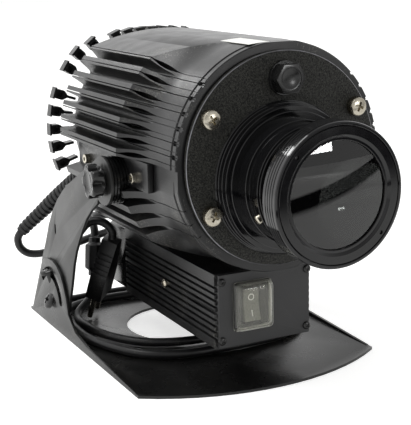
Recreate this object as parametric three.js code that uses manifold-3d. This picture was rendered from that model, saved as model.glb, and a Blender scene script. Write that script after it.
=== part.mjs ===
import * as THREE from 'three';
import Module from 'manifold-3d';
import { mergeVertices } from 'three/addons/utils/BufferGeometryUtils.js';

// A gobo projector on a bent steel foot. Sizes are in millimetres.
// The lens points along -Y, +X is to the right seen from the front, +Z is up.
// The origin lies under the foot, straight below the axis the head tilts about.

const wasm = await Module();
wasm.setup();

// Clearances and small sizes shared by many pieces
const gap = 0.3;
const overrun = 5;
const edgeBreak = 0.8;
const weld = 1e-4;

// How many sides round shapes get
const wideSteps = 60;
const roundSteps = 32;
const smallSteps = 16;
const holeSteps = 12;
const hexSides = 6;
const cornerSteps = 3;

// Heights and axes
const headAxisHeight = 156.5;
const lensAxisDrop = 12.1;
const tiltAxisDrop = 19;

// Front cover, its gasket and screws
const coverFront = -86;
const coverRadius = 70;
const coverThickness = 3;
const gasketThickness = 1;
const gasketRadius = 68.5;
const gasketBore = 57;
const coverScrewAcross = 54;
const coverScrewRise = 30.5;
const coverScrewHeadRadius = 6.3;
const coverScrewHeadHeight = 6.5;
const coverScrewShankRadius = 2.5;
const coverScrewLength = 14;
const crossSlotWidth = 1.6;
const crossSlotLength = 6.6;
const crossSlotDepth = 1.8;

// Vent plug
const ventPlugRise = 52.6;
const ventPlugFlats = 18.4;
const ventPlugHeight = 8;
const ventFlangeRadius = 11.2;
const ventFlangeHeight = 1.8;
const ventStemRadius = 6;

// Finned body
const bodyLength = 171;
const frontRingRadius = 75.5;
const frontRingLength = 5;
const ringNeckRadius = 74.6;
const waistRadius = 76;
const waistLength = 20;
const bodyRadius = 88.5;
const sweepLength = 38.5;
const sweepSteps = 4;
const blankRadius = 92;
const padHalfWidth = 60;
const padCrown = 75;
const padDrop = 10.6;
const lowerPadHalfWidth = 62;
const lowerPadDrop = 13;
const padSteps = 8;
const slotHalfMouth = 5;
const slotHalfFoot = 0.45;
const grooveRadius = 73;
const grooveTopRadius = 75.5;
const lowerSlotRadius = 77;
const finTipHalfWidth = 2;
const upperFinAngles = [47, 39.2, 30.5, 23, 15.6, 9, 2.4];
const lowerFinAngles = [-17, -25, -33, -41];
const boreRadius = 55;
const rearBoreRadius = 52;
const frontBoreLength = 56;
const boreWall = 25;

// Rear heatsink ring with stub fins
const rearRingLength = 30;
const rearCoreRadius = 66;
const rearGrooveLength = 22.5;
const rearStubAngles = [-82, -74, -66, -52, -42.5, -33.5, -18, -8.5, 0.5, 10, 19, 33.5, 42.5, 52, 66, 74, 82];
const stubWebHalfWidth = 1;
const stubTipHalfWidth = 4.4;
const stubTipLength = 1.3;
const stubHeadHalfWidth = 3.6;
const stubHeadLength = 7.5;
const stubTaper = 3;

// Side pockets, tilt brackets and friction discs
const pocketFloor = 74;
const pocketTop = -1.2;
const pocketBottom = -21.3;
const bracketThickness = 4;
const bracketFront = -46;
const bracketBack = 72;
const bracketScrewFront = -26;
const bracketScrewBack = 58.5;
const bracketScrewDrop = 14;
const socketHeadRadius = 3.4;
const socketHeadHeight = 3.6;
const socketRadius = 1.6;
const socketDepth = 2;
const socketShankRadius = 1.8;
const socketShankLength = 10;
const discRadius = 16.5;
const discRibDepth = 1;
const discRibs = 2;
const discThickness = 11.4;
const studRadius = 4;
const studReach = 8;

// Curved arms
const armThickness = 2;
const armEndRadius = 17;
const armStartAngle = 64;
const armEndAngle = 302;
const armEndSteps = 18;
const armWindowAcross = 102;
const armWindowHeight = 82;
const armWindowHalfLength = 4;
const armWindowRadius = 1.6;
const armBossRadius = 6;
const armBossHeight = 3.5;
// The arm's edges are drawn for one height of the tilt axis and stretched to its own
const armDrawnHeight = 137.5;
const armBackEdge = [[8.6, 151.6], [37, 137.9], [70.6, 122.2], [80, 116.7], [94, 106.8], [106.6, 95.3],
  [117.4, 82], [126.2, 67], [139.4, 48.2], [140, 32], [132, 15], [118, 8]];
const armFrontEdge = [[104, 7.5], [90, 12], [80, 21], [78, 29.1], [71.2, 44.4], [64.3, 62.7], [58.4, 73.8],
  [50.6, 84.1], [42.6, 94], [33.3, 104.1], [22.6, 112.4], [10.9, 119.4]];

// Lobed knobs
const knobCollarRadius = 9;
const knobCollarLength = 2.5;
const knobGripLength = 8;
const knobRadius = 11.2;
const knobLobeDepth = 1.5;
const knobLobes = 5;
const knobSteps = 40;

// Foot
const footThickness = 2;
const footFrontMiddle = -84;
const footFrontCorner = -55;
const footBack = 167;
const footHoleRadius = 46;
const footHoleCentre = 67;
const footArcSteps = 16;
const earPivotAcross = 114.4;
const earPivotHeight = 21.3;
const earSlotRadius = 23;
const earSlotFrontAngle = 168;
const earSlotBackAngle = 43;
const earSlotSteps = 18;
const slotScrewAngle = 85.6;
const earOutline = [[-55, 0], [-50, 2.4], [10, 5], [35.8, 5.9], [62.2, 10.2], [75.9, 20.4], [78.8, 31.6],
  [84, 41.5], [89.7, 48.6], [98, 53.6], [107, 55.6], [118, 55.2], [127, 53], [131, 51], [146, 28], [161, 4.5],
  [163, 0]];
const armScrewHeadRadius = 7;
const armScrewHeadHeight = 4;
const armScrewRoundSteps = 4;
const armScrewRimShare = 0.35;
const armScrewShankRadius = 3;
const armScrewShankLength = 8;

// Lens collar, focusing tube and lenses
const collarFlangeRadius = 50.4;
const collarFlangeLength = 3.7;
const collarStepRadius = 48.7;
const collarStepLength = 6.3;
const collarLipRadius = 44.9;
const collarLipLength = 2;
const noseRootRadius = 40;
const noseRadius = 38;
const noseRootLength = 8;
const noseLength = 15;
const spigotRadius = 40.7;
const tubeRadius = 36;
const tubeBore = 33.5;
const tubeLipRadius = 31;
const tubeLipLength = 1.5;
const tubeFront = -142;
const tubeBack = -84;
const lensHeadRadius = 45;
const lensHeadFront = -151.4;
const lensHeadBack = -135.6;
const lensHeadGrooves = 4;
const lensHeadGrooveWidth = 1;
const lensHeadGrooveDepth = 0.9;
const lensHeadLipRadius = 33.5;
const lensHeadLipLength = 2;
const frontLensRadius = 39;
const frontLensEdge = 3;
const frontLensBulge = 3.6;
const retainerBore = 33.5;
const retainerRadius = 42.3;
const retainerInset = 0.4;
const spannerHoleRadius = 1.3;
const spannerHoleDepth = 2.2;
const spannerHoleAcross = 39.8;
const spannerHoleAngle = 41;
const rearLensRadius = 33.2;
const rearLensEdge = 3;
const rearLensBulge = 5;
const lensSteps = 4;
const lockScrewPlace = -116;
const lockScrewAngle = 205;
const lockScrewRadius = 2;
const lockScrewHeadRadius = 3;
const lockScrewHeadHeight = 3.4;

// Optics inside the head
const goboHolderThickness = 3;
const goboAperture = 18;
const goboRadius = 24.7;
const goboThickness = 1.1;
const goboRecess = 1.5;
const spreaderRadius = 39;
const spreaderThickness = 8;
const ledModuleSide = 30;
const ledModuleThickness = 2.5;
const ledDomeRadius = 9;
const ledDomeHeight = 1.5;
const condenserHolderRadius = 34;
const condenserHolderBore = 30;
const condenserHolderLength = 30;
const condenserLipBore = 26;
const condenserLipLength = 2;
const condenserSeat = 20;
const condenserRadius = 29.7;
const condenserEdge = 3;
const condenserBulge = 8;

// Power supply case under the head
const caseHalfWidth = 37.5;
const caseHeight = 52;
const caseFront = -60.7;
const casePlateThickness = 3;
const caseBackInset = 25;
const caseCapLength = 32;
const caseWall = 6;
const caseFloor = 4.5;
const caseTopBand = 8;
const caseGrooves = 9;
const caseGroovePitch = 4.5;
const caseGrooveWidth = 1.9;
const caseGrooveDepth = 2.6;
const capWall = 3;
const capInset = 0.5;
const capCorner = 4;
const plateScrewSideInset = 4.1;
const plateScrewTopInset = 5.2;
const plateScrewBottomInset = 5.5;
const plateScrewHeadRadius = 2.9;
const plateScrewHeadHeight = 1.6;
const plateScrewShankRadius = 1.5;
const plateScrewLength = 10;
const plateScrewSlotHalfLength = 1.6;
const smallSlotHalfWidth = 0.4;
const railHeight = 4;
const railHalfWidth = 12;
const railFront = -52;
const railBack = 66;
const groundScrewAcross = 20.4;
const groundScrewDrop = 26.1;
const groundScrewHeadRadius = 3.3;
const groundScrewHeadHeight = 2;
const groundScrewShankRadius = 1.6;
const groundScrewLength = 7.2;
const groundScrewSlotHalfLength = 2;
const boardSideClearance = 4.5;
const boardThickness = 1.6;
const boardFront = -30;
const boardBackInset = 10;
const boardLegRadius = 2.5;
const boardLegHeight = 5;
const boardLegInset = 5;
const chokeHalfWidth = 12;
const chokeLength = 26;
const chokeHeight = 22;
const capacitorRadius = 7;
const capacitorHeight = 24;

// Rocker switch with its clear boot
const switchAcross = -12.5;
const switchDrop = 24;
const switchFlangeHalfWidth = 11;
const switchFlangeHalfHeight = 15;
const switchFlangeThickness = 2;
const switchBodyHalfWidth = 9.6;
const switchBodyHalfHeight = 13.6;
const switchBodyLength = 16;
const switchMouthHalfWidth = 6.4;
const switchMouthHalfHeight = 12.3;
const switchMouthDepth = 11;
const rockerHalfWidth = 6;
const rockerHalfHeight = 11;
const rockerPivotDepth = 4.6;
const rockerFaceDepth = 5;
const rockerTiltAngle = 8;
const rockerHeelDepth = 3;
const rockerHeelHalfHeight = 4;
const bootHalfWidth = 14.6;
const bootHalfHeight = 17.2;
const bootDepth = 7.4;
const bootWall = 1.2;
const bootCorner = 3;
const bootOffset = 2.2;

// Cords, plug and in-line connector
const cordRadius = 3.25;
const cordSides = 8;
const leadSteps = 34;
const dropSteps = 24;
const mainsSteps = 80;
const cordRest = 5.6;
const leadBootRootRadius = 8;
const leadBootTipRadius = 5.4;
const leadBootRibs = 7;
const leadBootRibDepth = 0.9;
const leadBootSteps = 21;
const leadBootSides = 12;
// The lead and its boot are drawn from the back of the rear ring and from the head axis
const leadBootPath = [[-52, 0.6, -38], [-52, 9, -38.5], [-55.5, 21, -44.5], [-62.5, 33, -54.5],
  [-71, 44.5, -66], [-79.5, 55, -78], [-87.5, 63, -88], [-92.5, 67, -94.5]];
const leadPath = [[-92.97, 67.37, -95.1], [-94.8, 69.2, -98.8], [-95.2, 70.3, -102.3], [-93.2, 71.4, -109.2],
  [-87.6, 70.5, -114.6], [-80.6, 67.8, -115.9], [-70, 62.5, -114], [-58, 56, -110], [-46, 49, -105],
  [-35, 40.5, -99.5], [-27, 31, -95.5], [-23, 20, -93.2], [-22, 7.3, -93]];
const leadBossAcross = -22;
const leadBossDrop = 14;
const mainsBossAcross = 18;
const mainsBossDrop = 9.5;
const bossHoleRadius = 2.6;
const connectorRadius = 8;
const connectorNeckRadius = 5;
const connectorSides = 8;
const connectorNeckShare = 0.14;
const connectorCollarShare = 0.2;
// The connector and the cord down to it are drawn from the head axis, the cord's first points from the cap
const connectorFoot = [-50, 132, -125.5];
const connectorHead = [-46, 137.5, -95];
const dropStart = [[18, 0.3, -88.5], [18, 10, -88.5], [17.6, 20, -88.5]];
const dropPath = [[14.5, 157.3, -88.5], [6, 167.3, -88.5], [-6, 172.4, -87.9], [-19, 172.6, -86.5],
  [-31, 168.5, -84.7], [-39.8, 161, -83.2], [-43.6, 154.5, -82.6], [-44.4, 150.2, -83.1],
    [-44.7, 144.4, -84.9],
  [-45.2, 139.9, -89], [-45.88, 137.66, -94.15]];
// The mains cord's rise is drawn for one height of the connector's foot and stretched to its own
const mainsDrawnHeight = 31;
const mainsAirStart = [[-50.05, 131.93, 30.6], [-50.6, 131.2, 26.5], [-53.3, 128.8, 18.6], [-58.6, 124.9, 13],
  [-64.6, 120.9, 10.2], [-71, 115.2, 7.6]];
const mainsInnerPlan = [[-75, 106], [-76.3, 94], [-75, 80], [-72, 64], [-64, 45], [-51, 29], [-30, 18],
  [-5, 14], [25, 17], [50, 30], [66, 52], [71, 80], [68, 108], [54, 128], [30, 139], [0, 143], [-30, 145],
  [-58, 142], [-77, 130]];
const mainsOuterPlan = [[-84.5, 106], [-85.5, 84], [-85, 60], [-77, 32], [-62, 7], [-40, -6], [-10, -10],
  [20, -10], [50, -5], [73, 14], [82, 44], [84, 78], [80, 112], [64, 140], [35, 153], [0, 157], [-38, 158],
  [-58, 156.5]];
const mainsAirEnd = [[-72, 152.5, 7.5], [-81, 146, 14], [-85, 138.5, 25], [-84, 131, 38], [-80.5, 123.5, 52],
  [-74.5, 115.5, 65], [-67.1, 105.1, 79.6], [-65.6, 103.5, 81.9], [-61.4, 100, 84.8], [-56.2, 96.6, 84.5],
  [-51.5, 94.3, 81.3], [-48.46, 93.6, 75.9], [-47.85, 94.2, 72.4], [-47.88, 94.72, 70.2]];
const plugTop = [-48, 95, 69.4];
const plugFoot = [-54.9, 111.6, 22.4];
const plugHalfWidthTop = 5.5;
const plugHalfWidthFoot = 13;
const plugShoulderShare = 0.42;
const plugHalfDepth = 6.5;
const plugRibs = 5;
const plugRibDepth = 0.8;
const plugRibWidth = 1.6;
const plugRibPitch = 4;
const plugTurn = 48;
const pinRadius = 2.2;
const pinLength = 19;
const pinHalfSpacing = 8;
const pinSet = 4;

// Places that follow from the sizes above
const coverBack = coverFront + coverThickness;
const bodyFront = coverBack + gasketThickness;
const bodyBack = bodyFront + bodyLength;
const boreStep = bodyFront + frontBoreLength;
const boreEnd = bodyBack - boreWall;
const rearRingBack = bodyBack + rearRingLength;
const lensAxisHeight = headAxisHeight - lensAxisDrop;
const tiltAxisHeight = headAxisHeight - tiltAxisDrop;
const headBottom = headAxisHeight - padCrown;
const caseTop = headBottom - railHeight;
const caseBottom = caseTop - caseHeight;
const caseBack = rearRingBack - caseBackInset;
const caseCapBack = caseBack + caseCapLength;
const plateScrewAcross = caseHalfWidth - plateScrewSideInset;
const boardHalfWidth = caseHalfWidth - caseWall - boardSideClearance;
const plateScrewTop = caseTop - plateScrewTopInset;
const plateScrewBottom = caseBottom + plateScrewBottomInset;
const groundScrewHeight = caseTop - groundScrewDrop;
const boardBack = caseBack - boardBackInset;
const switchHeight = caseTop - switchDrop;
const leadBossHeight = caseTop - leadBossDrop;
const mainsBossHeight = caseTop - mainsBossDrop;
const bracketInner = pocketFloor + gap;
const bracketOuter = bracketInner + bracketThickness;
const armInner = bracketOuter + discThickness;
const armOuter = armInner + armThickness;
const earInner = armOuter + gap;
const earOuter = earInner + footThickness;
const knobBack = armOuter;
const collarFront = coverFront - collarFlangeLength - collarStepLength - collarLipLength;
const noseFront = collarFront - noseRootLength - noseLength;
const goboHolderFront = boreStep - goboHolderThickness;
const spreaderFront = boreEnd - spreaderThickness;
const ledFront = spreaderFront - ledModuleThickness;
const condenserHolderFront = spreaderFront - condenserHolderLength;
const condenserBack = condenserHolderFront + condenserSeat / 2;
const plateBack = caseFront + casePlateThickness;
const flangeFront = caseFront - switchFlangeThickness;
const rockerPivot = flangeFront + rockerPivotDepth;
const slotScrewAcross = earPivotAcross + earSlotRadius * cosine(slotScrewAngle);
const slotScrewHeight = earPivotHeight + earSlotRadius * sine(slotScrewAngle);

function cosine(angle) {
  return Math.cos(THREE.MathUtils.degToRad(angle));
}

function sine(angle) {
  return Math.sin(THREE.MathUtils.degToRad(angle));
}

// Turning closed surfaces into solids and back

function solid(geometry) {
  const bare = geometry.clone();
  bare.deleteAttribute('normal');
  bare.deleteAttribute('uv');
  const welded = mergeVertices(bare, weld);
  const corners = welded.index.array;
  const kept = [];
  for (let i = 0; i < corners.length; i += 3) {
    const [a, b, c] = [corners[i], corners[i + 1], corners[i + 2]];
    if (a !== b && b !== c && c !== a) kept.push(a, b, c);
  }
  const mesh = new wasm.Mesh({
    numProp: 3,
    vertProperties: Float32Array.from(welded.attributes.position.array),
    triVerts: Uint32Array.from(kept),
  });
  return new wasm.Manifold(mesh);
}

function geometryOf(body) {
  const mesh = body.getMesh();
  const geometry = new THREE.BufferGeometry();
  geometry.setAttribute('position', new THREE.BufferAttribute(mesh.vertProperties, 3));
  geometry.setIndex(new THREE.BufferAttribute(mesh.triVerts, 1));
  geometry.computeVertexNormals();
  return geometry;
}

// A profile of [radius, place] points turned about an axis along Y at a height
function turned(profile, height, segments, across = 0) {
  let area = 0;
  profile.forEach(([r, y], i) => {
    const [nextR, nextY] = profile[(i + 1) % profile.length];
    area += r * nextY - nextR * y;
  });
  const points = profile.map(([r, y]) => new THREE.Vector2(r, y));
  if (area < 0) points.reverse();
  const onAxis = points.some((point) => point.x === 0);
  if (!onAxis) points.push(points[0].clone());
  while (onAxis && (points[0].x > 0 || points[points.length - 1].x > 0)) points.push(points.shift());
  const geometry = new THREE.LatheGeometry(points, segments);
  geometry.translate(across, 0, height);
  return solid(geometry);
}

function rod(radius, from, to, height, segments, across = 0) {
  return turned([[0, from], [radius, from], [radius, to], [0, to]], height, segments, across);
}

function ring(outer, inner, from, to, height, segments) {
  return turned([[inner, from], [outer, from], [outer, to], [inner, to]], height, segments);
}

function asShape(points) {
  return new THREE.Shape(points.map(([u, v]) => new THREE.Vector2(u, v)));
}

function extruded(shape, depth) {
  return new THREE.ExtrudeGeometry(shape, { depth, bevelEnabled: false });
}

// Flat outlines pushed out along one axis, from one place to another
function alongX(points, from, to) {
  const geometry = extruded(asShape(points), to - from);
  const [x, y, z] = [new THREE.Vector3(1, 0, 0), new THREE.Vector3(0, 1, 0), new THREE.Vector3(0, 0, 1)];
  geometry.applyMatrix4(new THREE.Matrix4().makeBasis(y, z, x));
  geometry.translate(from, 0, 0);
  return solid(geometry);
}

function alongY(points, from, to) {
  const geometry = extruded(asShape(points), to - from);
  geometry.rotateX(Math.PI / 2);
  geometry.translate(0, to, 0);
  return solid(geometry);
}

function alongZ(points, from, to) {
  const geometry = extruded(asShape(points), to - from);
  geometry.translate(0, 0, from);
  return solid(geometry);
}

function box(fromX, toX, fromY, toY, fromZ, toZ) {
  return alongZ([[fromX, fromY], [toX, fromY], [toX, toY], [fromX, toY]], fromZ, toZ);
}

// A round rod along X on one side; side is +1 on the right and -1 on the left
function sideRod(side, radius, inner, outer, place, height, segments) {
  const geometry = new THREE.CylinderGeometry(radius, radius, outer - inner, segments);
  geometry.rotateZ(Math.PI / 2);
  geometry.translate(side * (inner + outer) / 2, place, height);
  return solid(geometry);
}

// A profile of [radius, distance from the middle] points turned about an axis along X
function sideTurned(side, profile, place, height, segments) {
  const geometry = new THREE.LatheGeometry(profile.map(([r, x]) => new THREE.Vector2(r, x)), segments);
  geometry.rotateZ(-side * Math.PI / 2);
  geometry.translate(0, place, height);
  return solid(geometry);
}

function sidePlate(side, points, inner, outer) {
  return side > 0 ? alongX(points, inner, outer) : alongX(points, -outer, -inner);
}

function circle(radius, centreU, centreV, segments) {
  const points = [];
  for (let i = 0; i < segments; i += 1) {
    const angle = 360 * i / segments;
    points.push([centreU + radius * cosine(angle), centreV + radius * sine(angle)]);
  }
  return points;
}

function roundedBox(halfWidth, halfHeight, corner, centreU, centreV) {
  const points = [];
  [[1, 1, 0], [-1, 1, 90], [-1, -1, 180], [1, -1, 270]].forEach(([u, v, start]) => {
    for (let i = 0; i <= cornerSteps; i += 1) {
      const angle = start + 90 * i / cornerSteps;
      points.push([
        centreU + u * (halfWidth - corner) + corner * cosine(angle),
        centreV + v * (halfHeight - corner) + corner * sine(angle),
      ]);
    }
  });
  return points;
}

function union(pieces) {
  return pieces.reduce((whole, piece) => whole.add(piece));
}

function cut(body, tools) {
  return tools.reduce((rest, tool) => rest.subtract(tool), body);
}

// Finned body

// A point out along a ray at an angle from +X about the head axis, moved sideways
function onRay(angle, radius, aside) {
  return [radius * cosine(angle) - aside * sine(angle),
    headAxisHeight + radius * sine(angle) + aside * cosine(angle)];
}

function padArc(halfWidth, crown, drop, sign) {
  const radius = (halfWidth * halfWidth + drop * drop) / (2 * drop);
  const points = [];
  for (let i = 0; i <= padSteps; i += 1) {
    const across = halfWidth * (1 - 2 * i / padSteps);
    const fall = radius - Math.sqrt(radius * radius - across * across);
    points.push([sign * across, headAxisHeight + sign * (crown - fall)]);
  }
  return points;
}

function slotPoints(angle, foot, footTop) {
  const points = [onRay(angle, blankRadius, slotHalfMouth), onRay(angle, footTop, slotHalfFoot)];
  if (foot < footTop) points.push(onRay(angle, foot, slotHalfFoot), onRay(angle, foot, -slotHalfFoot));
  points.push(onRay(angle, footTop, -slotHalfFoot), onRay(angle, blankRadius, -slotHalfMouth));
  return points;
}

function rightFlank() {
  const points = [];
  for (let i = 1; i < upperFinAngles.length; i += 1) {
    points.push(...slotPoints((upperFinAngles[i - 1] + upperFinAngles[i]) / 2, grooveRadius,
      grooveTopRadius));
  }
  const lastUpper = upperFinAngles[upperFinAngles.length - 1];
  points.push(onRay(lastUpper, blankRadius, -finTipHalfWidth));
  points.push([pocketFloor, headAxisHeight + pocketTop], [pocketFloor, headAxisHeight + pocketBottom]);
  points.push(onRay(lowerFinAngles[0], blankRadius, finTipHalfWidth));
  for (let i = 1; i < lowerFinAngles.length; i += 1) {
    points.push(...slotPoints((lowerFinAngles[i - 1] + lowerFinAngles[i]) / 2, lowerSlotRadius,
      lowerSlotRadius));
  }
  return points;
}

function bodyOutline() {
  const right = rightFlank();
  const left = right.map(([x, z]) => [-x, z]);
  const top = padArc(padHalfWidth, padCrown, padDrop, 1);
  const bottom = padArc(lowerPadHalfWidth, padCrown, lowerPadDrop, -1);
  return [...top, ...left, ...bottom, ...right.slice().reverse()];
}

function bodyEnvelope() {
  const ringBack = bodyFront + frontRingLength;
  const sweepStart = ringBack + waistLength;
  const rise = bodyRadius - waistRadius;
  const sweepRadius = (rise * rise + sweepLength * sweepLength) / (2 * rise);
  const profile = [[0, bodyFront], [frontRingRadius - edgeBreak, bodyFront],
    [frontRingRadius, bodyFront + edgeBreak], [frontRingRadius, ringBack], [ringNeckRadius, ringBack + gap],
    [ringNeckRadius, ringBack + edgeBreak], [waistRadius, ringBack + 2 * edgeBreak]];
  const sweepAngle = Math.asin(sweepLength / sweepRadius);
  for (let i = 0; i <= sweepSteps; i += 1) {
    const angle = sweepAngle * i / sweepSteps;
    profile.push([waistRadius + sweepRadius * (1 - Math.cos(angle)),
      sweepStart + sweepRadius * Math.sin(angle)]);
  }
  profile.push([bodyRadius, bodyBack], [0, bodyBack]);
  return turned(profile, headAxisHeight, wideSteps);
}

function coverScrewPlaces() {
  const places = [];
  [1, -1].forEach((u) => [1, -1].forEach((v) => {
    places.push([u * coverScrewAcross, headAxisHeight + v * coverScrewRise]);
  }));
  return places;
}

function heatsinkBody() {
  const blank = alongY(bodyOutline(), bodyFront - overrun, bodyBack + overrun).intersect(bodyEnvelope());
  const tools = [
    rod(boreRadius, bodyFront - overrun, boreStep, headAxisHeight, roundSteps),
    rod(rearBoreRadius, boreStep - overrun, boreEnd, headAxisHeight, roundSteps),
  ];
  coverScrewPlaces().forEach(([x, z]) => {
    tools.push(rod(coverScrewShankRadius + gap, bodyFront - overrun, coverFront + coverScrewLength + gap, z,
      holeSteps, x));
  });
  [1, -1].forEach((side) => {
    tools.push(sideRod(side, discRadius + 2 * gap, pocketFloor, blankRadius + overrun, 0, tiltAxisHeight,
      roundSteps));
    tools.push(sideRod(side, studRadius + gap, bracketInner - studReach - gap, blankRadius, 0,
      tiltAxisHeight, smallSteps));
    [bracketScrewFront, bracketScrewBack].forEach((place) => {
      const height = headAxisHeight - bracketScrewDrop;
      const inner = bracketOuter - socketShankLength - gap;
      tools.push(sideRod(side, socketShankRadius + gap, inner, blankRadius, place, height, holeSteps));
    });
  });
  return cut(blank, tools);
}

// How far out a stub reaches at an angle, within the body's radius and the arcs of the pads
function stubReach(angle) {
  const [halfWidth, drop] = sine(angle) < 0 ? [lowerPadHalfWidth, lowerPadDrop] : [padHalfWidth, padDrop];
  const radius = (halfWidth * halfWidth + drop * drop) / (2 * drop);
  const rise = Math.abs(sine(angle)) * (radius - padCrown);
  return Math.min(bodyRadius, Math.sqrt(rise * rise + padCrown * (2 * radius - padCrown)) - rise);
}

// A stub is a web with a headed tip
function rearStub(angle) {
  const tip = stubReach(angle);
  const head = tip - stubHeadLength;
  const half = [[rearCoreRadius - overrun, stubWebHalfWidth], [head - stubTaper, stubWebHalfWidth],
    [head, stubHeadHalfWidth], [tip - stubTipLength, stubHeadHalfWidth],
    [tip - stubTipLength, stubTipHalfWidth], [tip, stubTipHalfWidth]];
  const other = half.map(([r, w]) => [r, -w]).reverse();
  const outline = [...other, ...half].map(([r, w]) => onRay(angle, r, w));
  return alongY(outline, bodyBack + rearGrooveLength, rearRingBack);
}

function rearHeatsink() {
  const core = rod(rearCoreRadius, bodyBack, rearRingBack, headAxisHeight, roundSteps);
  const angles = [90, -90, ...rearStubAngles, ...rearStubAngles.map((angle) => 180 - angle)];
  return union([core, ...angles.map(rearStub)]);
}

// Front cover and its fixings

function frontCover() {
  const disc = turned([[0, coverFront], [coverRadius - edgeBreak, coverFront],
    [coverRadius, coverFront + edgeBreak],
    [coverRadius, coverBack], [0, coverBack]], headAxisHeight, wideSteps);
  const tools = [
    rod(spigotRadius + gap, coverFront - overrun, coverBack + overrun, lensAxisHeight, roundSteps),
    rod(ventStemRadius + gap, coverFront - overrun, coverBack + overrun, headAxisHeight + ventPlugRise,
      smallSteps),
  ];
  coverScrewPlaces().forEach(([x, z]) => {
    tools.push(rod(coverScrewShankRadius + gap, coverFront - overrun, coverBack + overrun, z, holeSteps, x));
  });
  return cut(disc, tools);
}

function coverGasket() {
  const tools = coverScrewPlaces().map(([x, z]) => (
    rod(coverScrewShankRadius + gap, coverBack - overrun, bodyFront + overrun, z, holeSteps, x)));
  return cut(ring(gasketRadius, gasketBore, coverBack, bodyFront, headAxisHeight, wideSteps), tools);
}

function crossSlot(x, front, z) {
  const half = crossSlotLength / 2;
  const thin = crossSlotWidth / 2;
  return box(x - half, x + half, front - overrun, front + crossSlotDepth, z - thin, z + thin)
    .add(box(x - thin, x + thin, front - overrun, front + crossSlotDepth, z - half, z + half));
}

function coverScrew([x, z]) {
  const front = coverFront - coverScrewHeadHeight;
  const shaft = turned([[0, front], [coverScrewHeadRadius - edgeBreak, front],
    [coverScrewHeadRadius, front + edgeBreak], [coverScrewHeadRadius, coverFront],
    [coverScrewShankRadius, coverFront], [coverScrewShankRadius, coverFront + coverScrewLength],
    [0, coverFront + coverScrewLength]], z, smallSteps, x);
  return shaft.subtract(crossSlot(x, front, z));
}

function ventPlug() {
  const height = headAxisHeight + ventPlugRise;
  const flangeFront = coverFront - ventFlangeHeight;
  const front = flangeFront - ventPlugHeight;
  const hexRadius = ventPlugFlats / 2 / cosine(30);
  const hex = circle(hexRadius, 0, height, hexSides);
  const stem = rod(ventStemRadius, coverFront - edgeBreak, coverBack, height, smallSteps);
  const flange = rod(ventFlangeRadius, flangeFront, coverFront, height, smallSteps);
  return alongY(hex, front, flangeFront + edgeBreak).add(flange).add(stem);
}

// Lens collar, focusing tube and lenses

function lensCollar() {
  const flangeFrontPlace = coverFront - collarFlangeLength;
  const stepFront = flangeFrontPlace - collarStepLength;
  const profile = [[tubeRadius + gap, bodyFront], [spigotRadius, bodyFront], [spigotRadius, coverFront],
    [collarFlangeRadius, coverFront], [collarFlangeRadius, flangeFrontPlace],
      [collarStepRadius, flangeFrontPlace],
    [collarStepRadius, stepFront], [collarLipRadius, collarFront], [noseRootRadius, collarFront],
    [noseRadius, collarFront - noseRootLength], [noseRadius, noseFront], [tubeRadius + gap, noseFront]];
  return turned(profile, lensAxisHeight, roundSteps).subtract(lockScrewBody(lockScrewRadius + gap));
}

function lockScrewBody(radius) {
  const inner = tubeRadius + gap / 2;
  const outer = noseRadius + overrun;
  const geometry = new THREE.CylinderGeometry(radius, radius, outer - inner, holeSteps);
  geometry.rotateZ(-Math.PI / 2);
  geometry.translate((inner + outer) / 2, 0, 0);
  geometry.rotateY(-THREE.MathUtils.degToRad(lockScrewAngle));
  geometry.translate(0, lockScrewPlace, lensAxisHeight);
  return solid(geometry);
}

function focusLockScrew() {
  const inner = noseRadius + gap;
  const outer = inner + lockScrewHeadHeight;
  const geometry = new THREE.CylinderGeometry(lockScrewHeadRadius, lockScrewHeadRadius, outer - inner,
    holeSteps);
  geometry.rotateZ(-Math.PI / 2);
  geometry.translate((inner + outer) / 2, 0, 0);
  geometry.rotateY(-THREE.MathUtils.degToRad(lockScrewAngle));
  geometry.translate(0, lockScrewPlace, lensAxisHeight);
  return lockScrewBody(lockScrewRadius).add(solid(geometry));
}

function focusTube() {
  const profile = [[tubeBore, tubeFront], [tubeRadius, tubeFront], [tubeRadius, tubeBack],
    [tubeLipRadius, tubeBack],
    [tubeLipRadius, tubeBack - tubeLipLength], [tubeBore, tubeBack - tubeLipLength]];
  return turned(profile, lensAxisHeight, roundSteps);
}

function lensHead() {
  const lipBack = tubeFront - gap;
  const lipFront = lipBack - lensHeadLipLength;
  const lensPocketFront = lipFront - frontLensEdge - gap;
  const pitch = (lensHeadBack - lensHeadFront) / (lensHeadGrooves + 1);
  const outer = [[lensHeadRadius - edgeBreak, lensHeadFront], [lensHeadRadius, lensHeadFront + edgeBreak]];
  for (let i = 1; i <= lensHeadGrooves; i += 1) {
    const place = lensHeadFront + i * pitch;
    const half = lensHeadGrooveWidth / 2;
    outer.push([lensHeadRadius, place - half], [lensHeadRadius - lensHeadGrooveDepth, place],
      [lensHeadRadius, place + half]);
  }
  const profile = [...outer, [lensHeadRadius, lensHeadBack - edgeBreak],
    [lensHeadRadius - edgeBreak, lensHeadBack],
    [tubeRadius + gap, lensHeadBack], [tubeRadius + gap, lipBack], [lensHeadLipRadius, lipBack],
    [lensHeadLipRadius, lipFront], [frontLensRadius + gap, lipFront],
      [frontLensRadius + gap, lensPocketFront],
    [retainerRadius + gap, lensPocketFront], [retainerRadius + gap, lensHeadFront]];
  return turned(profile, lensAxisHeight, roundSteps);
}

function lens(radius, flatPlace, edge, bulge, segments) {
  const front = flatPlace - edge;
  const curve = (radius * radius + bulge * bulge) / (2 * bulge);
  const profile = [[0, flatPlace], [radius, flatPlace], [radius, front]];
  for (let i = 1; i <= lensSteps; i += 1) {
    const r = radius * (1 - i / lensSteps);
    profile.push([r, front - bulge + curve - Math.sqrt(curve * curve - r * r)]);
  }
  return turned(profile, lensAxisHeight, segments);
}

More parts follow.
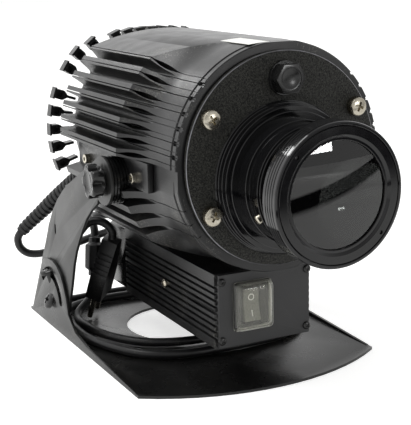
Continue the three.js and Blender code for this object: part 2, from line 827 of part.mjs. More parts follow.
function frontLens() {
  return lens(frontLensRadius, tubeFront - gap - lensHeadLipLength, frontLensEdge, frontLensBulge,
    roundSteps);
}

function lensRetainer() {
  const back = tubeFront - gap - lensHeadLipLength - frontLensEdge - gap;
  const front = lensHeadFront + retainerInset;
  const plain = turned([[retainerBore, front], [retainerRadius, front], [retainerRadius, back],
    [frontLensRadius - edgeBreak, back], [retainerBore, back - frontLensBulge / 2]], lensAxisHeight,
      roundSteps);
  const tools = [1, -1].map((u) => {
    const x = u * spannerHoleAcross * cosine(spannerHoleAngle);
    const z = lensAxisHeight - u * spannerHoleAcross * sine(spannerHoleAngle);
    return rod(spannerHoleRadius, front - overrun, front + spannerHoleDepth, z, holeSteps, x);
  });
  return cut(plain, tools);
}

function rearLens() {
  return lens(rearLensRadius, tubeBack - tubeLipLength, rearLensEdge, rearLensBulge, roundSteps);
}

// Optics inside the head

function goboHolder() {
  const plain = rod(boreRadius - gap, goboHolderFront, boreStep, headAxisHeight, roundSteps);
  return cut(plain, [
    rod(goboAperture, goboHolderFront - overrun, boreStep + overrun, lensAxisHeight, roundSteps),
    rod(goboRadius + gap, goboHolderFront - overrun, goboHolderFront + goboRecess, lensAxisHeight,
      roundSteps),
  ]);
}

function goboDisc() {
  const back = goboHolderFront + goboRecess;
  return rod(goboRadius, back - goboThickness, back, lensAxisHeight, roundSteps);
}

function heatSpreader() {
  return rod(spreaderRadius, spreaderFront, boreEnd, lensAxisHeight, roundSteps);
}

function ledModule() {
  const half = ledModuleSide / 2;
  const [low, high] = [lensAxisHeight - half, lensAxisHeight + half];
  return box(-half, half, ledFront, spreaderFront, low, high)
    .add(rod(ledDomeRadius, ledFront - ledDomeHeight, ledFront + edgeBreak, lensAxisHeight, smallSteps));
}

function condenserHolder() {
  const seatBack = condenserBack + condenserLipLength;
  const profile = [[condenserHolderBore, condenserHolderFront], [condenserHolderRadius, condenserHolderFront],
    [condenserHolderRadius, spreaderFront], [condenserHolderBore, spreaderFront],
      [condenserHolderBore, seatBack],
    [condenserLipBore, seatBack], [condenserLipBore, condenserBack], [condenserHolderBore, condenserBack]];
  return turned(profile, lensAxisHeight, roundSteps);
}

function condenserLens() {
  return lens(condenserRadius, condenserBack, condenserEdge, condenserBulge, roundSteps);
}

// Tilt brackets, friction discs, arms and knobs

function tiltBracket(side) {
  const [low, high] = [headAxisHeight + pocketBottom + gap, headAxisHeight + pocketTop - gap];
  const bar = [[bracketFront, low], [bracketBack, low], [bracketBack, high], [bracketFront, high]];
  const plate = sidePlate(side, bar, bracketInner, bracketOuter)
    .add(sideRod(side, discRadius, bracketInner, bracketOuter, 0, tiltAxisHeight, roundSteps));
  const tools = [sideRod(side, studRadius + gap, bracketInner - overrun, bracketOuter + overrun, 0,
    tiltAxisHeight, smallSteps)];
  [bracketScrewFront, bracketScrewBack].forEach((place) => {
    const height = headAxisHeight - bracketScrewDrop;
    const reach = socketShankRadius + gap;
    tools.push(sideRod(side, reach, bracketInner - overrun, bracketOuter + overrun, place, height,
      holeSteps));
  });
  return cut(plate, tools);
}

function bracketScrew(side, place) {
  const height = headAxisHeight - bracketScrewDrop;
  const outer = bracketOuter + socketHeadHeight;
  const inner = bracketOuter - socketShankLength;
  return sideRod(side, socketHeadRadius, bracketOuter, outer, place, height, smallSteps)
    .add(sideRod(side, socketShankRadius, inner, bracketOuter + edgeBreak, place, height, holeSteps))
    .subtract(sideRod(side, socketRadius, outer - socketDepth, outer + overrun, place, height, hexSides));
}

function frictionDisc(side) {
  const step = discThickness / (2 * discRibs + 1);
  const profile = [[studRadius + gap, bracketOuter]];
  for (let i = 0; i <= 2 * discRibs; i += 1) {
    const radius = i % 2 === 0 ? discRadius : discRadius - discRibDepth;
    profile.push([radius, bracketOuter + i * step], [radius, bracketOuter + (i + 1) * step]);
  }
  profile.push([studRadius + gap, armInner], [studRadius + gap, bracketOuter]);
  return sideTurned(side, profile, 0, tiltAxisHeight, roundSteps);
}

// Points drawn for one height above a low one, stretched to another; their height comes last
function stretched(points, low, drawnHigh, high) {
  const share = (high - low) / (drawnHigh - low);
  return points.map((point) => [...point.slice(0, -1), low + (point[point.length - 1] - low) * share]);
}

function armOutline() {
  const points = [];
  for (let i = 0; i <= armEndSteps; i += 1) {
    const angle = armStartAngle + (armEndAngle - armStartAngle) * i / armEndSteps;
    points.push([armEndRadius * cosine(angle), tiltAxisHeight + armEndRadius * sine(angle)]);
  }
  const edges = [...armFrontEdge.slice().reverse(), ...armBackEdge.slice().reverse()];
  return [...points, ...stretched(edges, earPivotHeight, armDrawnHeight, tiltAxisHeight)];
}

function arm(side) {
  const plate = sidePlate(side, armOutline(), armInner, armOuter);
  const bosses = [[earPivotAcross, earPivotHeight], [slotScrewAcross, slotScrewHeight]];
  let body = plate;
  bosses.forEach(([y, z]) => {
    body = body.add(sideRod(side, armBossRadius, armInner - armBossHeight, armInner + edgeBreak, y, z,
      smallSteps));
  });
  const windowPoints = [];
  circle(armWindowRadius, 0, 0, holeSteps).forEach(([u, v]) => {
    const shift = v > 0 ? armWindowHalfLength - armWindowRadius : armWindowRadius - armWindowHalfLength;
    windowPoints.push([armWindowAcross + u, armWindowHeight + v + shift]);
  });
  const reach = armScrewShankRadius + gap;
  const tools = bosses.map(([y, z]) => sideRod(side, reach, armInner - overrun, armOuter + overrun, y, z,
    holeSteps));
  tools.push(sidePlate(side, windowPoints, armInner - overrun, armOuter + overrun));
  tools.push(sideRod(side, studRadius + gap, armInner - overrun, armOuter + overrun, 0, tiltAxisHeight,
    smallSteps));
  return cut(body, tools);
}

function armScrew(side, y, z) {
  const outer = earOuter + armScrewHeadHeight;
  const profile = [[0, earOuter - armScrewShankLength], [armScrewShankRadius, earOuter - armScrewShankLength],
    [armScrewShankRadius, earOuter], [armScrewHeadRadius, earOuter]];
  for (let i = 0; i <= armScrewRoundSteps; i += 1) {
    const angle = 90 * i / armScrewRoundSteps;
    const rim = earOuter + armScrewRimShare * armScrewHeadHeight;
    profile.push([armScrewHeadRadius * cosine(angle), rim + (outer - rim) * sine(angle)]);
  }
  profile[profile.length - 1][0] = 0;
  const half = crossSlotLength / 2;
  const thin = crossSlotWidth / 2;
  const bar = (a, b) => [[y - a, z - b], [y + a, z - b], [y + a, z + b], [y - a, z + b]];
  return cut(sideTurned(side, profile, y, z, smallSteps), [
    sidePlate(side, bar(half, thin), outer - crossSlotDepth, outer + overrun),
    sidePlate(side, bar(thin, half), outer - crossSlotDepth, outer + overrun),
  ]);
}

function knob(side) {
  const lobes = [];
  for (let i = 0; i < knobSteps; i += 1) {
    const angle = 360 * i / knobSteps;
    const r = knobRadius + knobLobeDepth * cosine(knobLobes * angle);
    lobes.push([r * cosine(angle), tiltAxisHeight + r * sine(angle)]);
  }
  const gripInner = knobBack + knobCollarLength;
  return sidePlate(side, lobes, gripInner, gripInner + knobGripLength)
    .add(sideRod(side, knobCollarRadius, knobBack, gripInner + edgeBreak, 0, tiltAxisHeight, smallSteps))
    .add(sideRod(side, studRadius, bracketInner - studReach, gripInner + edgeBreak, 0, tiltAxisHeight,
      smallSteps));
}

// Foot

function footOutline() {
  const rise = footFrontCorner - footFrontMiddle;
  const radius = (earOuter * earOuter + rise * rise) / (2 * rise);
  const points = [];
  for (let i = 0; i <= footArcSteps; i += 1) {
    const x = earOuter * (2 * i / footArcSteps - 1);
    points.push([x, footFrontMiddle + radius - Math.sqrt(radius * radius - x * x)]);
  }
  return [...points, [earOuter, footBack], [-earOuter, footBack]];
}

function earSlot(side) {
  const outer = [];
  const inner = [];
  const half = armScrewShankRadius + gap;
  for (let i = 0; i <= earSlotSteps; i += 1) {
    const angle = earSlotBackAngle + (earSlotFrontAngle - earSlotBackAngle) * i / earSlotSteps;
    const at = (r) => [earPivotAcross + r * cosine(angle), earPivotHeight + r * sine(angle)];
    outer.push(at(earSlotRadius + half));
    inner.push(at(earSlotRadius - half));
  }
  return sidePlate(side, [...outer, ...inner.reverse()], earInner - overrun, earOuter + overrun);
}

function basePlate() {
  let body = alongZ(footOutline(), 0, footThickness);
  const tools = [alongZ(circle(footHoleRadius, 0, footHoleCentre, roundSteps), -overrun,
    footThickness + overrun)];
  [1, -1].forEach((side) => {
    body = body.add(sidePlate(side, earOutline, earInner, earOuter));
    const reach = armScrewShankRadius + gap;
    const through = [earInner - overrun, earOuter + overrun];
    tools.push(sideRod(side, reach, ...through, earPivotAcross, earPivotHeight, holeSteps));
    tools.push(earSlot(side));
    [earSlotBackAngle, earSlotFrontAngle].forEach((angle) => {
      const y = earPivotAcross + earSlotRadius * cosine(angle);
      const z = earPivotHeight + earSlotRadius * sine(angle);
      tools.push(sideRod(side, reach, ...through, y, z, holeSteps));
    });
  });
  return cut(body, tools);
}

// Power supply case

function caseOutline() {
  const points = [[caseHalfWidth, caseTop]];
  for (let i = 0; i < caseGrooves; i += 1) {
    const high = caseTop - caseTopBand - i * caseGroovePitch;
    const low = high - caseGrooveWidth;
    const floor = caseHalfWidth - caseGrooveDepth;
    points.push([caseHalfWidth, high], [floor, high], [floor, low], [caseHalfWidth, low]);
  }
  points.push([caseHalfWidth, caseBottom]);
  const left = points.map(([x, z]) => [-x, z]).reverse();
  return [...points.reverse(), ...left.reverse()];
}

function driverCase() {
  const inner = caseHalfWidth - caseWall;
  const hollow = box(-inner, inner, plateBack - overrun, caseBack + overrun, caseBottom + caseFloor,
    caseTop - caseFloor);
  const tools = [hollow];
  plateScrewPlaces().forEach(([x, z]) => {
    tools.push(rod(plateScrewShankRadius + gap, plateBack - overrun, caseFront + plateScrewLength + gap, z,
      holeSteps, x));
  });
  const reach = caseHalfWidth - groundScrewLength - gap;
  const shank = groundScrewShankRadius + gap;
  tools.push(sideRod(-1, shank, reach, caseHalfWidth + overrun, groundScrewAcross, groundScrewHeight,
    holeSteps));
  return cut(alongY(caseOutline(), plateBack, caseBack), tools);
}

function plateScrewPlaces() {
  const places = [];
  [plateScrewTop, plateScrewBottom].forEach((z) => {
    [1, -1].forEach((u) => places.push([u * plateScrewAcross, z]));
  });
  return places;
}

function plateScrew([x, z]) {
  const front = caseFront - plateScrewHeadHeight;
  const shaft = turned([[0, front], [plateScrewHeadRadius - edgeBreak, front],
    [plateScrewHeadRadius, caseFront],
    [plateScrewShankRadius, caseFront], [plateScrewShankRadius, caseFront + plateScrewLength],
    [0, caseFront + plateScrewLength]], z, holeSteps, x);
  const half = plateScrewSlotHalfLength;
  const thin = smallSlotHalfWidth;
  const depth = plateScrewHeadHeight / 2;
  return cut(shaft, [
    box(x - half, x + half, front - overrun, front + depth, z - thin, z + thin),
    box(x - thin, x + thin, front - overrun, front + depth, z - half, z + half),
  ]);
}

function driverFrontPlate() {
  const [u, v] = [switchBodyHalfWidth + gap, switchBodyHalfHeight + gap];
  const plain = box(-caseHalfWidth, caseHalfWidth, caseFront, plateBack, caseBottom, caseTop);
  const tools = plateScrewPlaces().map(([x, z]) => (
    rod(plateScrewShankRadius + gap, caseFront - overrun, plateBack + overrun, z, holeSteps, x)));
  tools.push(box(switchAcross - u, switchAcross + u, caseFront - overrun, plateBack + overrun,
    switchHeight - v, switchHeight + v));
  return cut(plain, tools);
}

function driverRearCap() {
  const halfWidth = caseHalfWidth - capInset;
  const halfHeight = (caseTop - caseBottom) / 2 - capInset;
  const middle = (caseTop + caseBottom) / 2;
  const hollow = roundedBox(halfWidth - capWall, halfHeight - capWall, capCorner / 2, 0, middle);
  return cut(alongY(roundedBox(halfWidth, halfHeight, capCorner, 0, middle), caseBack, caseCapBack), [
    alongY(hollow, caseBack - overrun, caseCapBack - capWall),
    rod(bossHoleRadius, caseBack, caseCapBack + overrun, leadBossHeight, holeSteps, leadBossAcross),
    rod(bossHoleRadius, caseBack, caseCapBack + overrun, mainsBossHeight, holeSteps, mainsBossAcross),
  ]);
}

function caseRail() {
  return box(-railHalfWidth, railHalfWidth, railFront, railBack, caseTop, headBottom - gap);
}

function groundScrew() {
  const outer = caseHalfWidth + groundScrewHeadHeight;
  const inner = caseHalfWidth - groundScrewLength;
  const head = sideRod(-1, groundScrewHeadRadius, caseHalfWidth, outer, groundScrewAcross, groundScrewHeight,
    smallSteps);
  const half = groundScrewSlotHalfLength;
  const thin = smallSlotHalfWidth;
  const [y, z] = [groundScrewAcross, groundScrewHeight];
  const bar = (a, b) => [[y - a, z - b], [y + a, z - b], [y + a, z + b], [y - a, z + b]];
  return cut(head.add(sideRod(-1, groundScrewShankRadius, inner, caseHalfWidth + edgeBreak, y, z,
    holeSteps)), [
    sidePlate(-1, bar(half, thin), outer - groundScrewHeadHeight / 2, outer + overrun),
    sidePlate(-1, bar(thin, half), outer - groundScrewHeadHeight / 2, outer + overrun),
  ]);
}

function driverBoard() {
  const floor = caseBottom + caseFloor;
  const bottom = floor + boardLegHeight;
  const top = bottom + boardThickness;
  const middle = (boardFront + boardBack) / 2;
  const chokeBack = middle + chokeLength / 2;
  let body = box(-boardHalfWidth, boardHalfWidth, boardFront, boardBack, bottom, top)
    .add(box(-chokeHalfWidth, chokeHalfWidth, middle - chokeLength / 2, chokeBack, top - edgeBreak,
      top + chokeHeight));
  const post = (radius, x, y, from, to) => alongZ(circle(radius, x, y, holeSteps), from, to);
  [1, -1].forEach((u) => [boardFront + boardLegInset, boardBack - boardLegInset].forEach((y) => {
    body = body.add(post(boardLegRadius, u * (boardHalfWidth - boardLegInset), y, floor, bottom + edgeBreak));
  }));
  [-1, 1].forEach((u) => {
    const y = chokeBack + 2 * capacitorRadius;
    body = body.add(post(capacitorRadius, u * chokeHalfWidth, y, top - edgeBreak, top + capacitorHeight));
  });
  return body;
}

// Rocker switch

function switchFrame() {
  const [x, z] = [switchAcross, switchHeight];
  const back = caseFront + switchBodyLength;
  const flange = box(x - switchFlangeHalfWidth, x + switchFlangeHalfWidth, flangeFront, caseFront,
    z - switchFlangeHalfHeight, z + switchFlangeHalfHeight);
  const barrel = box(x - switchBodyHalfWidth, x + switchBodyHalfWidth, caseFront - edgeBreak, back,
    z - switchBodyHalfHeight, z + switchBodyHalfHeight);
  return flange.add(barrel).subtract(box(x - switchMouthHalfWidth, x + switchMouthHalfWidth,
    flangeFront - overrun,
    flangeFront + switchMouthDepth, z - switchMouthHalfHeight, z + switchMouthHalfHeight));
}

function rocker() {
  const tip = rockerFaceDepth + rockerHalfHeight * Math.tan(THREE.MathUtils.degToRad(rockerTiltAngle));
  const outline = [[-rockerFaceDepth, 0], [-tip, -rockerHalfHeight], [-edgeBreak, -rockerHalfHeight],
    [rockerHeelDepth, -rockerHeelHalfHeight], [rockerHeelDepth, rockerHeelHalfHeight],
    [-edgeBreak, rockerHalfHeight], [-tip, rockerHalfHeight]];
  const angle = -rockerTiltAngle;
  const turnedPoints = outline.map(([y, z]) => [
    rockerPivot + y * cosine(angle) - z * sine(angle), switchHeight + y * sine(angle) + z * cosine(angle)]);
  return alongX(turnedPoints, switchAcross - rockerHalfWidth, switchAcross + rockerHalfWidth);
}

function switchBoot() {
  const x = switchAcross + bootOffset;
  const front = caseFront - bootDepth;
  const outer = roundedBox(bootHalfWidth, bootHalfHeight, bootCorner, x, switchHeight);
  const inner = roundedBox(bootHalfWidth - bootWall, bootHalfHeight - bootWall, bootCorner - bootWall, x,
    switchHeight);
  return alongY(outer, front, caseFront).subtract(alongY(inner, front + bootWall, caseFront + overrun));
}

// Cords

function curveThrough(points) {
  return new THREE.CatmullRomCurve3(points.map(([x, y, z]) => new THREE.Vector3(x, y, z)), false,
    'centripetal');
}

function tube(points, radius, steps) {
  const section = asShape(circle(radius, 0, 0, cordSides));
  return solid(new THREE.ExtrudeGeometry(section, { steps, bevelEnabled: false,
    extrudePath: curveThrough(points) }));
}

// Points given from a place along Y and from the head axis
function hungFrom(place, points) {
  return points.map(([x, y, z]) => [x, place + y, headAxisHeight + z]);
}

function ledLead() {
  return tube(hungFrom(rearRingBack, leadPath), cordRadius, leadSteps);
}

// A ribbed sleeve that narrows along its path and ends with flat faces
function leadBoot() {
  const curve = curveThrough(hungFrom(rearRingBack, leadBootPath));
  const sides = leadBootSides;
  const frames = curve.computeFrenetFrames(leadBootSteps, false);
  const vertices = [];
  const faces = [];
  for (let i = 0; i <= leadBootSteps; i += 1) {
    const share = i / leadBootSteps;
    const centre = curve.getPointAt(share);
    const ripple = i % (leadBootSteps / leadBootRibs) === 0 ? leadBootRibDepth : 0;
    const plain = leadBootRootRadius + (leadBootTipRadius - leadBootRootRadius) * share;
    const radius = i === 0 || i === leadBootSteps ? plain : plain - ripple;
    for (let j = 0; j < sides; j += 1) {
      const angle = 360 * j / sides;
      const point = centre.clone()
        .addScaledVector(frames.normals[i], radius * cosine(angle))
        .addScaledVector(frames.binormals[i], radius * sine(angle));
      vertices.push(point.x, point.y, point.z);
    }
  }
  for (let i = 0; i < leadBootSteps; i += 1) {
    for (let j = 0; j < sides; j += 1) {
      const [a, b] = [i * sides + j, i * sides + (j + 1) % sides];
      faces.push(a, b, a + sides, b, b + sides, a + sides);
    }
  }
  const last = leadBootSteps * sides;
  for (let j = 1; j < sides - 1; j += 1) {
    faces.push(0, j + 1, j);
    faces.push(last, last + j, last + j + 1);
  }
  const geometry = new THREE.BufferGeometry();
  geometry.setAttribute('position', new THREE.Float32BufferAttribute(vertices, 3));
  geometry.setIndex(faces);
  return solid(geometry);
}

function cordConnector() {
  const ends = hungFrom(0, [connectorFoot, connectorHead]);
  const [foot, head] = ends.map((point) => new THREE.Vector3(...point));
  const length = foot.distanceTo(head);
  const [neckShare, collarShare] = [connectorNeckShare, connectorCollarShare];
  const profile = [[0, 0], [connectorNeckRadius, 0], [connectorNeckRadius, neckShare * length],
    [connectorRadius, collarShare * length], [connectorRadius, (1 - collarShare) * length],
    [connectorNeckRadius, (1 - neckShare) * length], [connectorNeckRadius, length], [0, length]];
  const points = profile.map(([r, y]) => new THREE.Vector2(r, y));
  const geometry = new THREE.LatheGeometry(points, connectorSides);
  const axis = head.clone().sub(foot).normalize();
  geometry.applyQuaternion(new THREE.Quaternion().setFromUnitVectors(new THREE.Vector3(0, 1, 0), axis));
  geometry.translate(foot.x, foot.y, foot.z);
  return solid(geometry);
}

function mainsDrop() {
  const points = [...hungFrom(caseCapBack, dropStart), ...hungFrom(0, dropPath)];
  return tube(points, cordRadius, dropSteps);
}

function mainsCord() {
  const rise = stretched(mainsAirStart, cordRest, mainsDrawnHeight, headAxisHeight + connectorFoot[2]);
  const flat = [...mainsInnerPlan, ...mainsOuterPlan].map(([x, y]) => [x, y, cordRest]);
  return tube([...rise, ...flat, ...mainsAirEnd], cordRadius, mainsSteps);
}

// The plug stands on its pins; its own axis runs from the foot to the top
function plugPlace(geometry) {
  const foot = new THREE.Vector3(...plugFoot);
  const axis = new THREE.Vector3(...plugTop).sub(foot).normalize();
  geometry.rotateZ(THREE.MathUtils.degToRad(plugTurn));
  geometry.applyQuaternion(new THREE.Quaternion().setFromUnitVectors(new THREE.Vector3(0, 0, 1), axis));
  geometry.translate(foot.x, foot.y, foot.z);
  return solid(geometry);
}

function plugLength() {
  return new THREE.Vector3(...plugTop).distanceTo(new THREE.Vector3(...plugFoot));
}

function pinHole(sign, radius, length) {
  const geometry = new THREE.CylinderGeometry(radius, radius, length, holeSteps);
  geometry.rotateX(Math.PI / 2);
  geometry.translate(sign * pinHalfSpacing, 0, pinSet - length / 2);
  return plugPlace(geometry);
}

function mainsPlug() {
  const length = plugLength();
  const shoulder = plugShoulderShare * length;
  const half = [[plugHalfWidthFoot, 0], [plugHalfWidthFoot, shoulder]];
  const ribsStart = shoulder + plugRibPitch / 2;
  const widthAt = (z) => plugHalfWidthFoot
    + (plugHalfWidthTop - plugHalfWidthFoot) * Math.max(0, (z - shoulder) / (length - shoulder));
  for (let i = 0; i < plugRibs; i += 1) {
    const low = ribsStart + i * plugRibPitch;
    const high = low + plugRibWidth;
    half.push([widthAt(low), low], [widthAt(low) - plugRibDepth, low], [widthAt(high) - plugRibDepth, high],
      [widthAt(high), high]);
  }
  half.push([plugHalfWidthTop, length]);
  const outline = [...half, ...half.map(([x, z]) => [-x, z]).reverse()];
  const geometry = extruded(asShape(outline), 2 * plugHalfDepth);
  geometry.translate(0, 0, -plugHalfDepth);
  geometry.rotateX(Math.PI / 2);
  const body = plugPlace(geometry);
  return cut(body, [1, -1].map((sign) => pinHole(sign, pinRadius, pinLength + pinSet)));
}

// Materials

function finish(color, roughness, metalness) {
  return { color, roughness, metalness };
}

const finishes = {
  blackMetal: finish(0x2b2b2e, 0.45, 0.6),
  coverBlack: finish(0x1e1e20, 0.7, 0.4),
  footGrey: finish(0x2f2f32, 0.5, 0.5),
  turnedBlack: finish(0x161617, 0.3, 0.6),
  nickel: finish(0xc9c4b8, 0.25, 1),
  steel: finish(0x9a9a98, 0.35, 1),
  blackScrew: finish(0x242426, 0.4, 0.8),
  blackPlastic: finish(0x1b1b1c, 0.45, 0),
  rubber: finish(0x232324, 0.8, 0),
  clearBoot: finish(0xb9bcc0, 0.35, 0),
  rockerGrey: finish(0x3a4048, 0.4, 0),
  glass: finish(0x20242c, 0.05, 0),
  aluminium: finish(0xb4b6b8, 0.4, 1),
  copper: finish(0xb07a50, 0.4, 1),
  board: finish(0x2f6b3a, 0.6, 0),
  ceramic: finish(0xe4dcae, 0.6, 0),
  connectorGrey: finish(0x55565a, 0.5, 0),
};

const root = new THREE.Group();

function place(name, body, look) {
  const mesh = new THREE.Mesh(geometryOf(body), new THREE.MeshStandardMaterial(look));
  mesh.name = name;
  root.add(mesh);
}

place('heatsink_body', heatsinkBody(), finishes.blackMetal);
place('rear_heatsink', rearHeatsink(), finishes.blackMetal);
place('front_cover', frontCover(), finishes.coverBlack);
place('cover_gasket', coverGasket(), finishes.rubber);
coverScrewPlaces().forEach((at, i) => place(`cover_screw_${i + 1}`, coverScrew(at), finishes.nickel));
place('vent_plug', ventPlug(), finishes.blackPlastic);
place('lens_collar', lensCollar(), finishes.turnedBlack);
place('focus_tube', focusTube(), finishes.turnedBlack);
place('lens_head', lensHead(), finishes.turnedBlack);
place('lens_retainer', lensRetainer(), finishes.turnedBlack);
place('front_lens', frontLens(), finishes.glass);
place('rear_lens', rearLens(), finishes.glass);
place('focus_lock_screw', focusLockScrew(), finishes.steel);
place('gobo_holder', goboHolder(), finishes.aluminium);
place('gobo_disc', goboDisc(), finishes.glass);
place('condenser_holder', condenserHolder(), finishes.aluminium);
place('condenser_lens', condenserLens(), finishes.glass);
place('led_module', ledModule(), finishes.ceramic);
place('heat_spreader', heatSpreader(), finishes.copper);

[['right', 1], ['left', -1]].forEach(([name, side]) => {
  place(`tilt_bracket_${name}`, tiltBracket(side), finishes.blackMetal);
  place(`bracket_screw_front_${name}`, bracketScrew(side, bracketScrewFront), finishes.steel);
  place(`bracket_screw_rear_${name}`, bracketScrew(side, bracketScrewBack), finishes.steel);
  place(`friction_disc_${name}`, frictionDisc(side), finishes.rubber);
  place(`knob_${name}`, knob(side), finishes.blackPlastic);
  place(`arm_${name}`, arm(side), finishes.footGrey);
  place(`arm_pivot_screw_${name}`, armScrew(side, earPivotAcross, earPivotHeight), finishes.blackScrew);
  place(`arm_slot_screw_${name}`, armScrew(side, slotScrewAcross, slotScrewHeight), finishes.blackScrew);
});

place('base_plate', basePlate(), finishes.footGrey);
place('driver_case', driverCase(), finishes.blackMetal);
place('driver_front_plate', driverFrontPlate(), finishes.coverBlack);
place('driver_rear_cap', driverRearCap(), finishes.blackPlastic);
plateScrewPlaces().forEach((at, i) => place(`plate_screw_${i + 1}`, plateScrew(at), finishes.blackScrew));
place('case_rail', caseRail(), finishes.coverBlack);
place('ground_screw', groundScrew(), finishes.steel);
place('driver_board', driverBoard(), finishes.board);
place('switch_frame', switchFrame(), finishes.blackPlastic);
place('rocker', rocker(), finishes.rockerGrey);
place('switch_boot', switchBoot(), finishes.clearBoot);
place('led_lead_boot', leadBoot(), finishes.rubber);
place('led_lead', ledLead(), finishes.rubber);
place('cord_connector', cordConnector(), finishes.connectorGrey);
place('mains_cord_drop', mainsDrop(), finishes.rubber);
place('mains_cord', mainsCord(), finishes.rubber);
place('mains_plug', mainsPlug(), finishes.blackPlastic);
[1, -1].forEach((sign, i) => place(`plug_pin_${i + 1}`, pinHole(sign, pinRadius, pinLength + pinSet),
  finishes.nickel));

export default root;
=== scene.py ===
"""Looks for a small gobo projector on a bent steel foot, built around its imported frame."""

import logging
import math
from collections.abc import Sequence
from dataclasses import dataclass
from enum import Enum

import bmesh
import bpy
import numpy as np
from mathutils import Matrix, Vector


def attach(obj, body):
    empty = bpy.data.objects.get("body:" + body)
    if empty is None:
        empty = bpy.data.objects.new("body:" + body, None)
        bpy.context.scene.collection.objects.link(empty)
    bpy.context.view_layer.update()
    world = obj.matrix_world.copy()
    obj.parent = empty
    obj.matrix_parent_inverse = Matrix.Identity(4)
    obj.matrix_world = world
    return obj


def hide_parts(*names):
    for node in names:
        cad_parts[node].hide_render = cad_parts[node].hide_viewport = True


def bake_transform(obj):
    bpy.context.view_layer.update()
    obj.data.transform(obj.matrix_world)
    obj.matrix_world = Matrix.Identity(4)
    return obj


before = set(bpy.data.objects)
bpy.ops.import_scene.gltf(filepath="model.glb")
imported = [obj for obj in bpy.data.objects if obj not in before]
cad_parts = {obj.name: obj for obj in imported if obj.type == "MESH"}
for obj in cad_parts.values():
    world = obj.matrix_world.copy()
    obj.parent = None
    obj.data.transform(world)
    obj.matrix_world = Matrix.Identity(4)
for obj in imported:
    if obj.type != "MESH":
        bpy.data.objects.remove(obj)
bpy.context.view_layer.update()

log = logging.getLogger("projector")

MM = 0.001
Colour = tuple[float, float, float, float]
Mesh = bpy.types.Mesh
Object = bpy.types.Object
Pair = tuple[float, float]
Place = tuple[float, float, float]
Socket = bpy.types.NodeSocket
Tree = bpy.types.NodeTree

# Axes that several sub-assemblies share, in millimetres
HEAD_AXIS = 156.5
LENS_AXIS = 144.4
TILT_AXIS = 137.5
SIDES = (("right", 1), ("left", -1))

# How many chords a curve gets between two points; how near corners are merged, in metres
CURVE_STEPS = 24
MERGE = 2e-6

# Grain lines of drawn metal: how much the noise is drawn out; settled dust: specks and clouds a metre
DRAWN_STRETCH = 0.012
SPECKS_PER_M = 900.0
CLOUDS_PER_M = 28.0


# Node trees


def linear(colour: str) -> Colour:
    """Turns an sRGB hex colour into linear light with an alpha of one."""
    parts = [int(colour[i : i + 2], 16) / 255 for i in (1, 3, 5)]
    light = [c / 12.92 if c <= 0.04045 else ((c + 0.055) / 1.055) ** 2.4 for c in parts]
    return light[0], light[1], light[2], 1.0


def add(tree: Tree, kind: str, links: dict | None = None, **settings: object) -> bpy.types.Node:
    """Adds a node with its settings and links.

    Args:
        tree: the tree that gets the node.
        kind: the node's type name.
        links: input name or number, to the output or value that it takes.
        settings: the node's own properties.

    Returns:
        The node.
    """
    made = tree.nodes.new(kind)
    for name, value in settings.items():
        setattr(made, name, value)
    for name, source in (links or {}).items():
        if isinstance(source, Socket):
            tree.links.new(source, made.inputs[name])
        else:
            made.inputs[name].default_value = source
    return made


def noise(tree: Tree, place: Socket, scale: float, detail: float) -> Socket:
    """Adds a noise pattern of a scale per metre."""
    return add(tree, "ShaderNodeTexNoise", {"Vector": place, "Scale": scale, "Detail": detail}).outputs[0]


def ranged(tree: Tree, value: Socket, start: float, end: float, low: float = 0, high: float = 1) -> Socket:
    """Adds a map from the range start to end onto the range low to high."""
    return add(tree, "ShaderNodeMapRange", {0: value, 1: start, 2: end, 3: low, 4: high}).outputs[0]


def maths(tree: Tree, operation: str, first: Socket | float, second: Socket) -> Socket:
    """Adds one step of arithmetic on two values."""
    return add(tree, "ShaderNodeMath", {0: first, 1: second}, operation=operation).outputs[0]


def mixed(tree: Tree, share: Socket, first: Socket | Colour, second: Socket | Colour) -> Socket:
    """Adds a mix of two colours."""
    return add(tree, "ShaderNodeMix", {0: share, 6: first, 7: second}, data_type="RGBA").outputs[2]


def over(tree: Tree, share: Socket | float, first: bpy.types.Node, second: bpy.types.Node) -> bpy.types.Node:
    """Adds a mix of two shaders."""
    return add(tree, "ShaderNodeMixShader", {0: share, 1: first.outputs[0], 2: second.outputs[0]})


def opened(block: bpy.types.Material | bpy.types.World, coordinates: str) -> tuple[Tree, Socket]:
    """Empties a material's or world's tree, and returns it with the coordinates of a kind."""
    block.use_nodes = True
    block.node_tree.nodes.clear()
    return block.node_tree, add(block.node_tree, "ShaderNodeTexCoord").outputs[coordinates]


@dataclass(frozen=True)
class Look:
    """A material that is made once and named after its finish."""

    name: str

    def nodes(self, tree: Tree, place: Socket) -> bpy.types.Node:
        """Adds the shader at the object coordinates; each kind of finish has its own."""
        raise NotImplementedError

    def build(self) -> bpy.types.Material:
        """Makes the material, or returns it where it's made already."""
        if self.name in bpy.data.materials:
            return bpy.data.materials[self.name]
        material = bpy.data.materials.new(self.name)
        tree, place = opened(material, "Object")
        add(tree, "ShaderNodeOutputMaterial", {0: self.nodes(tree, place).outputs[0]})
        return material


class Grain(Enum):
    """How a surface was made, which sets the relief it shows."""

    MOULDED = "moulded"
    EXTRUDED = "extruded"
    TURNED = "turned about the lens axis"
    POWDER = "powder"
    SPUN = "spun"


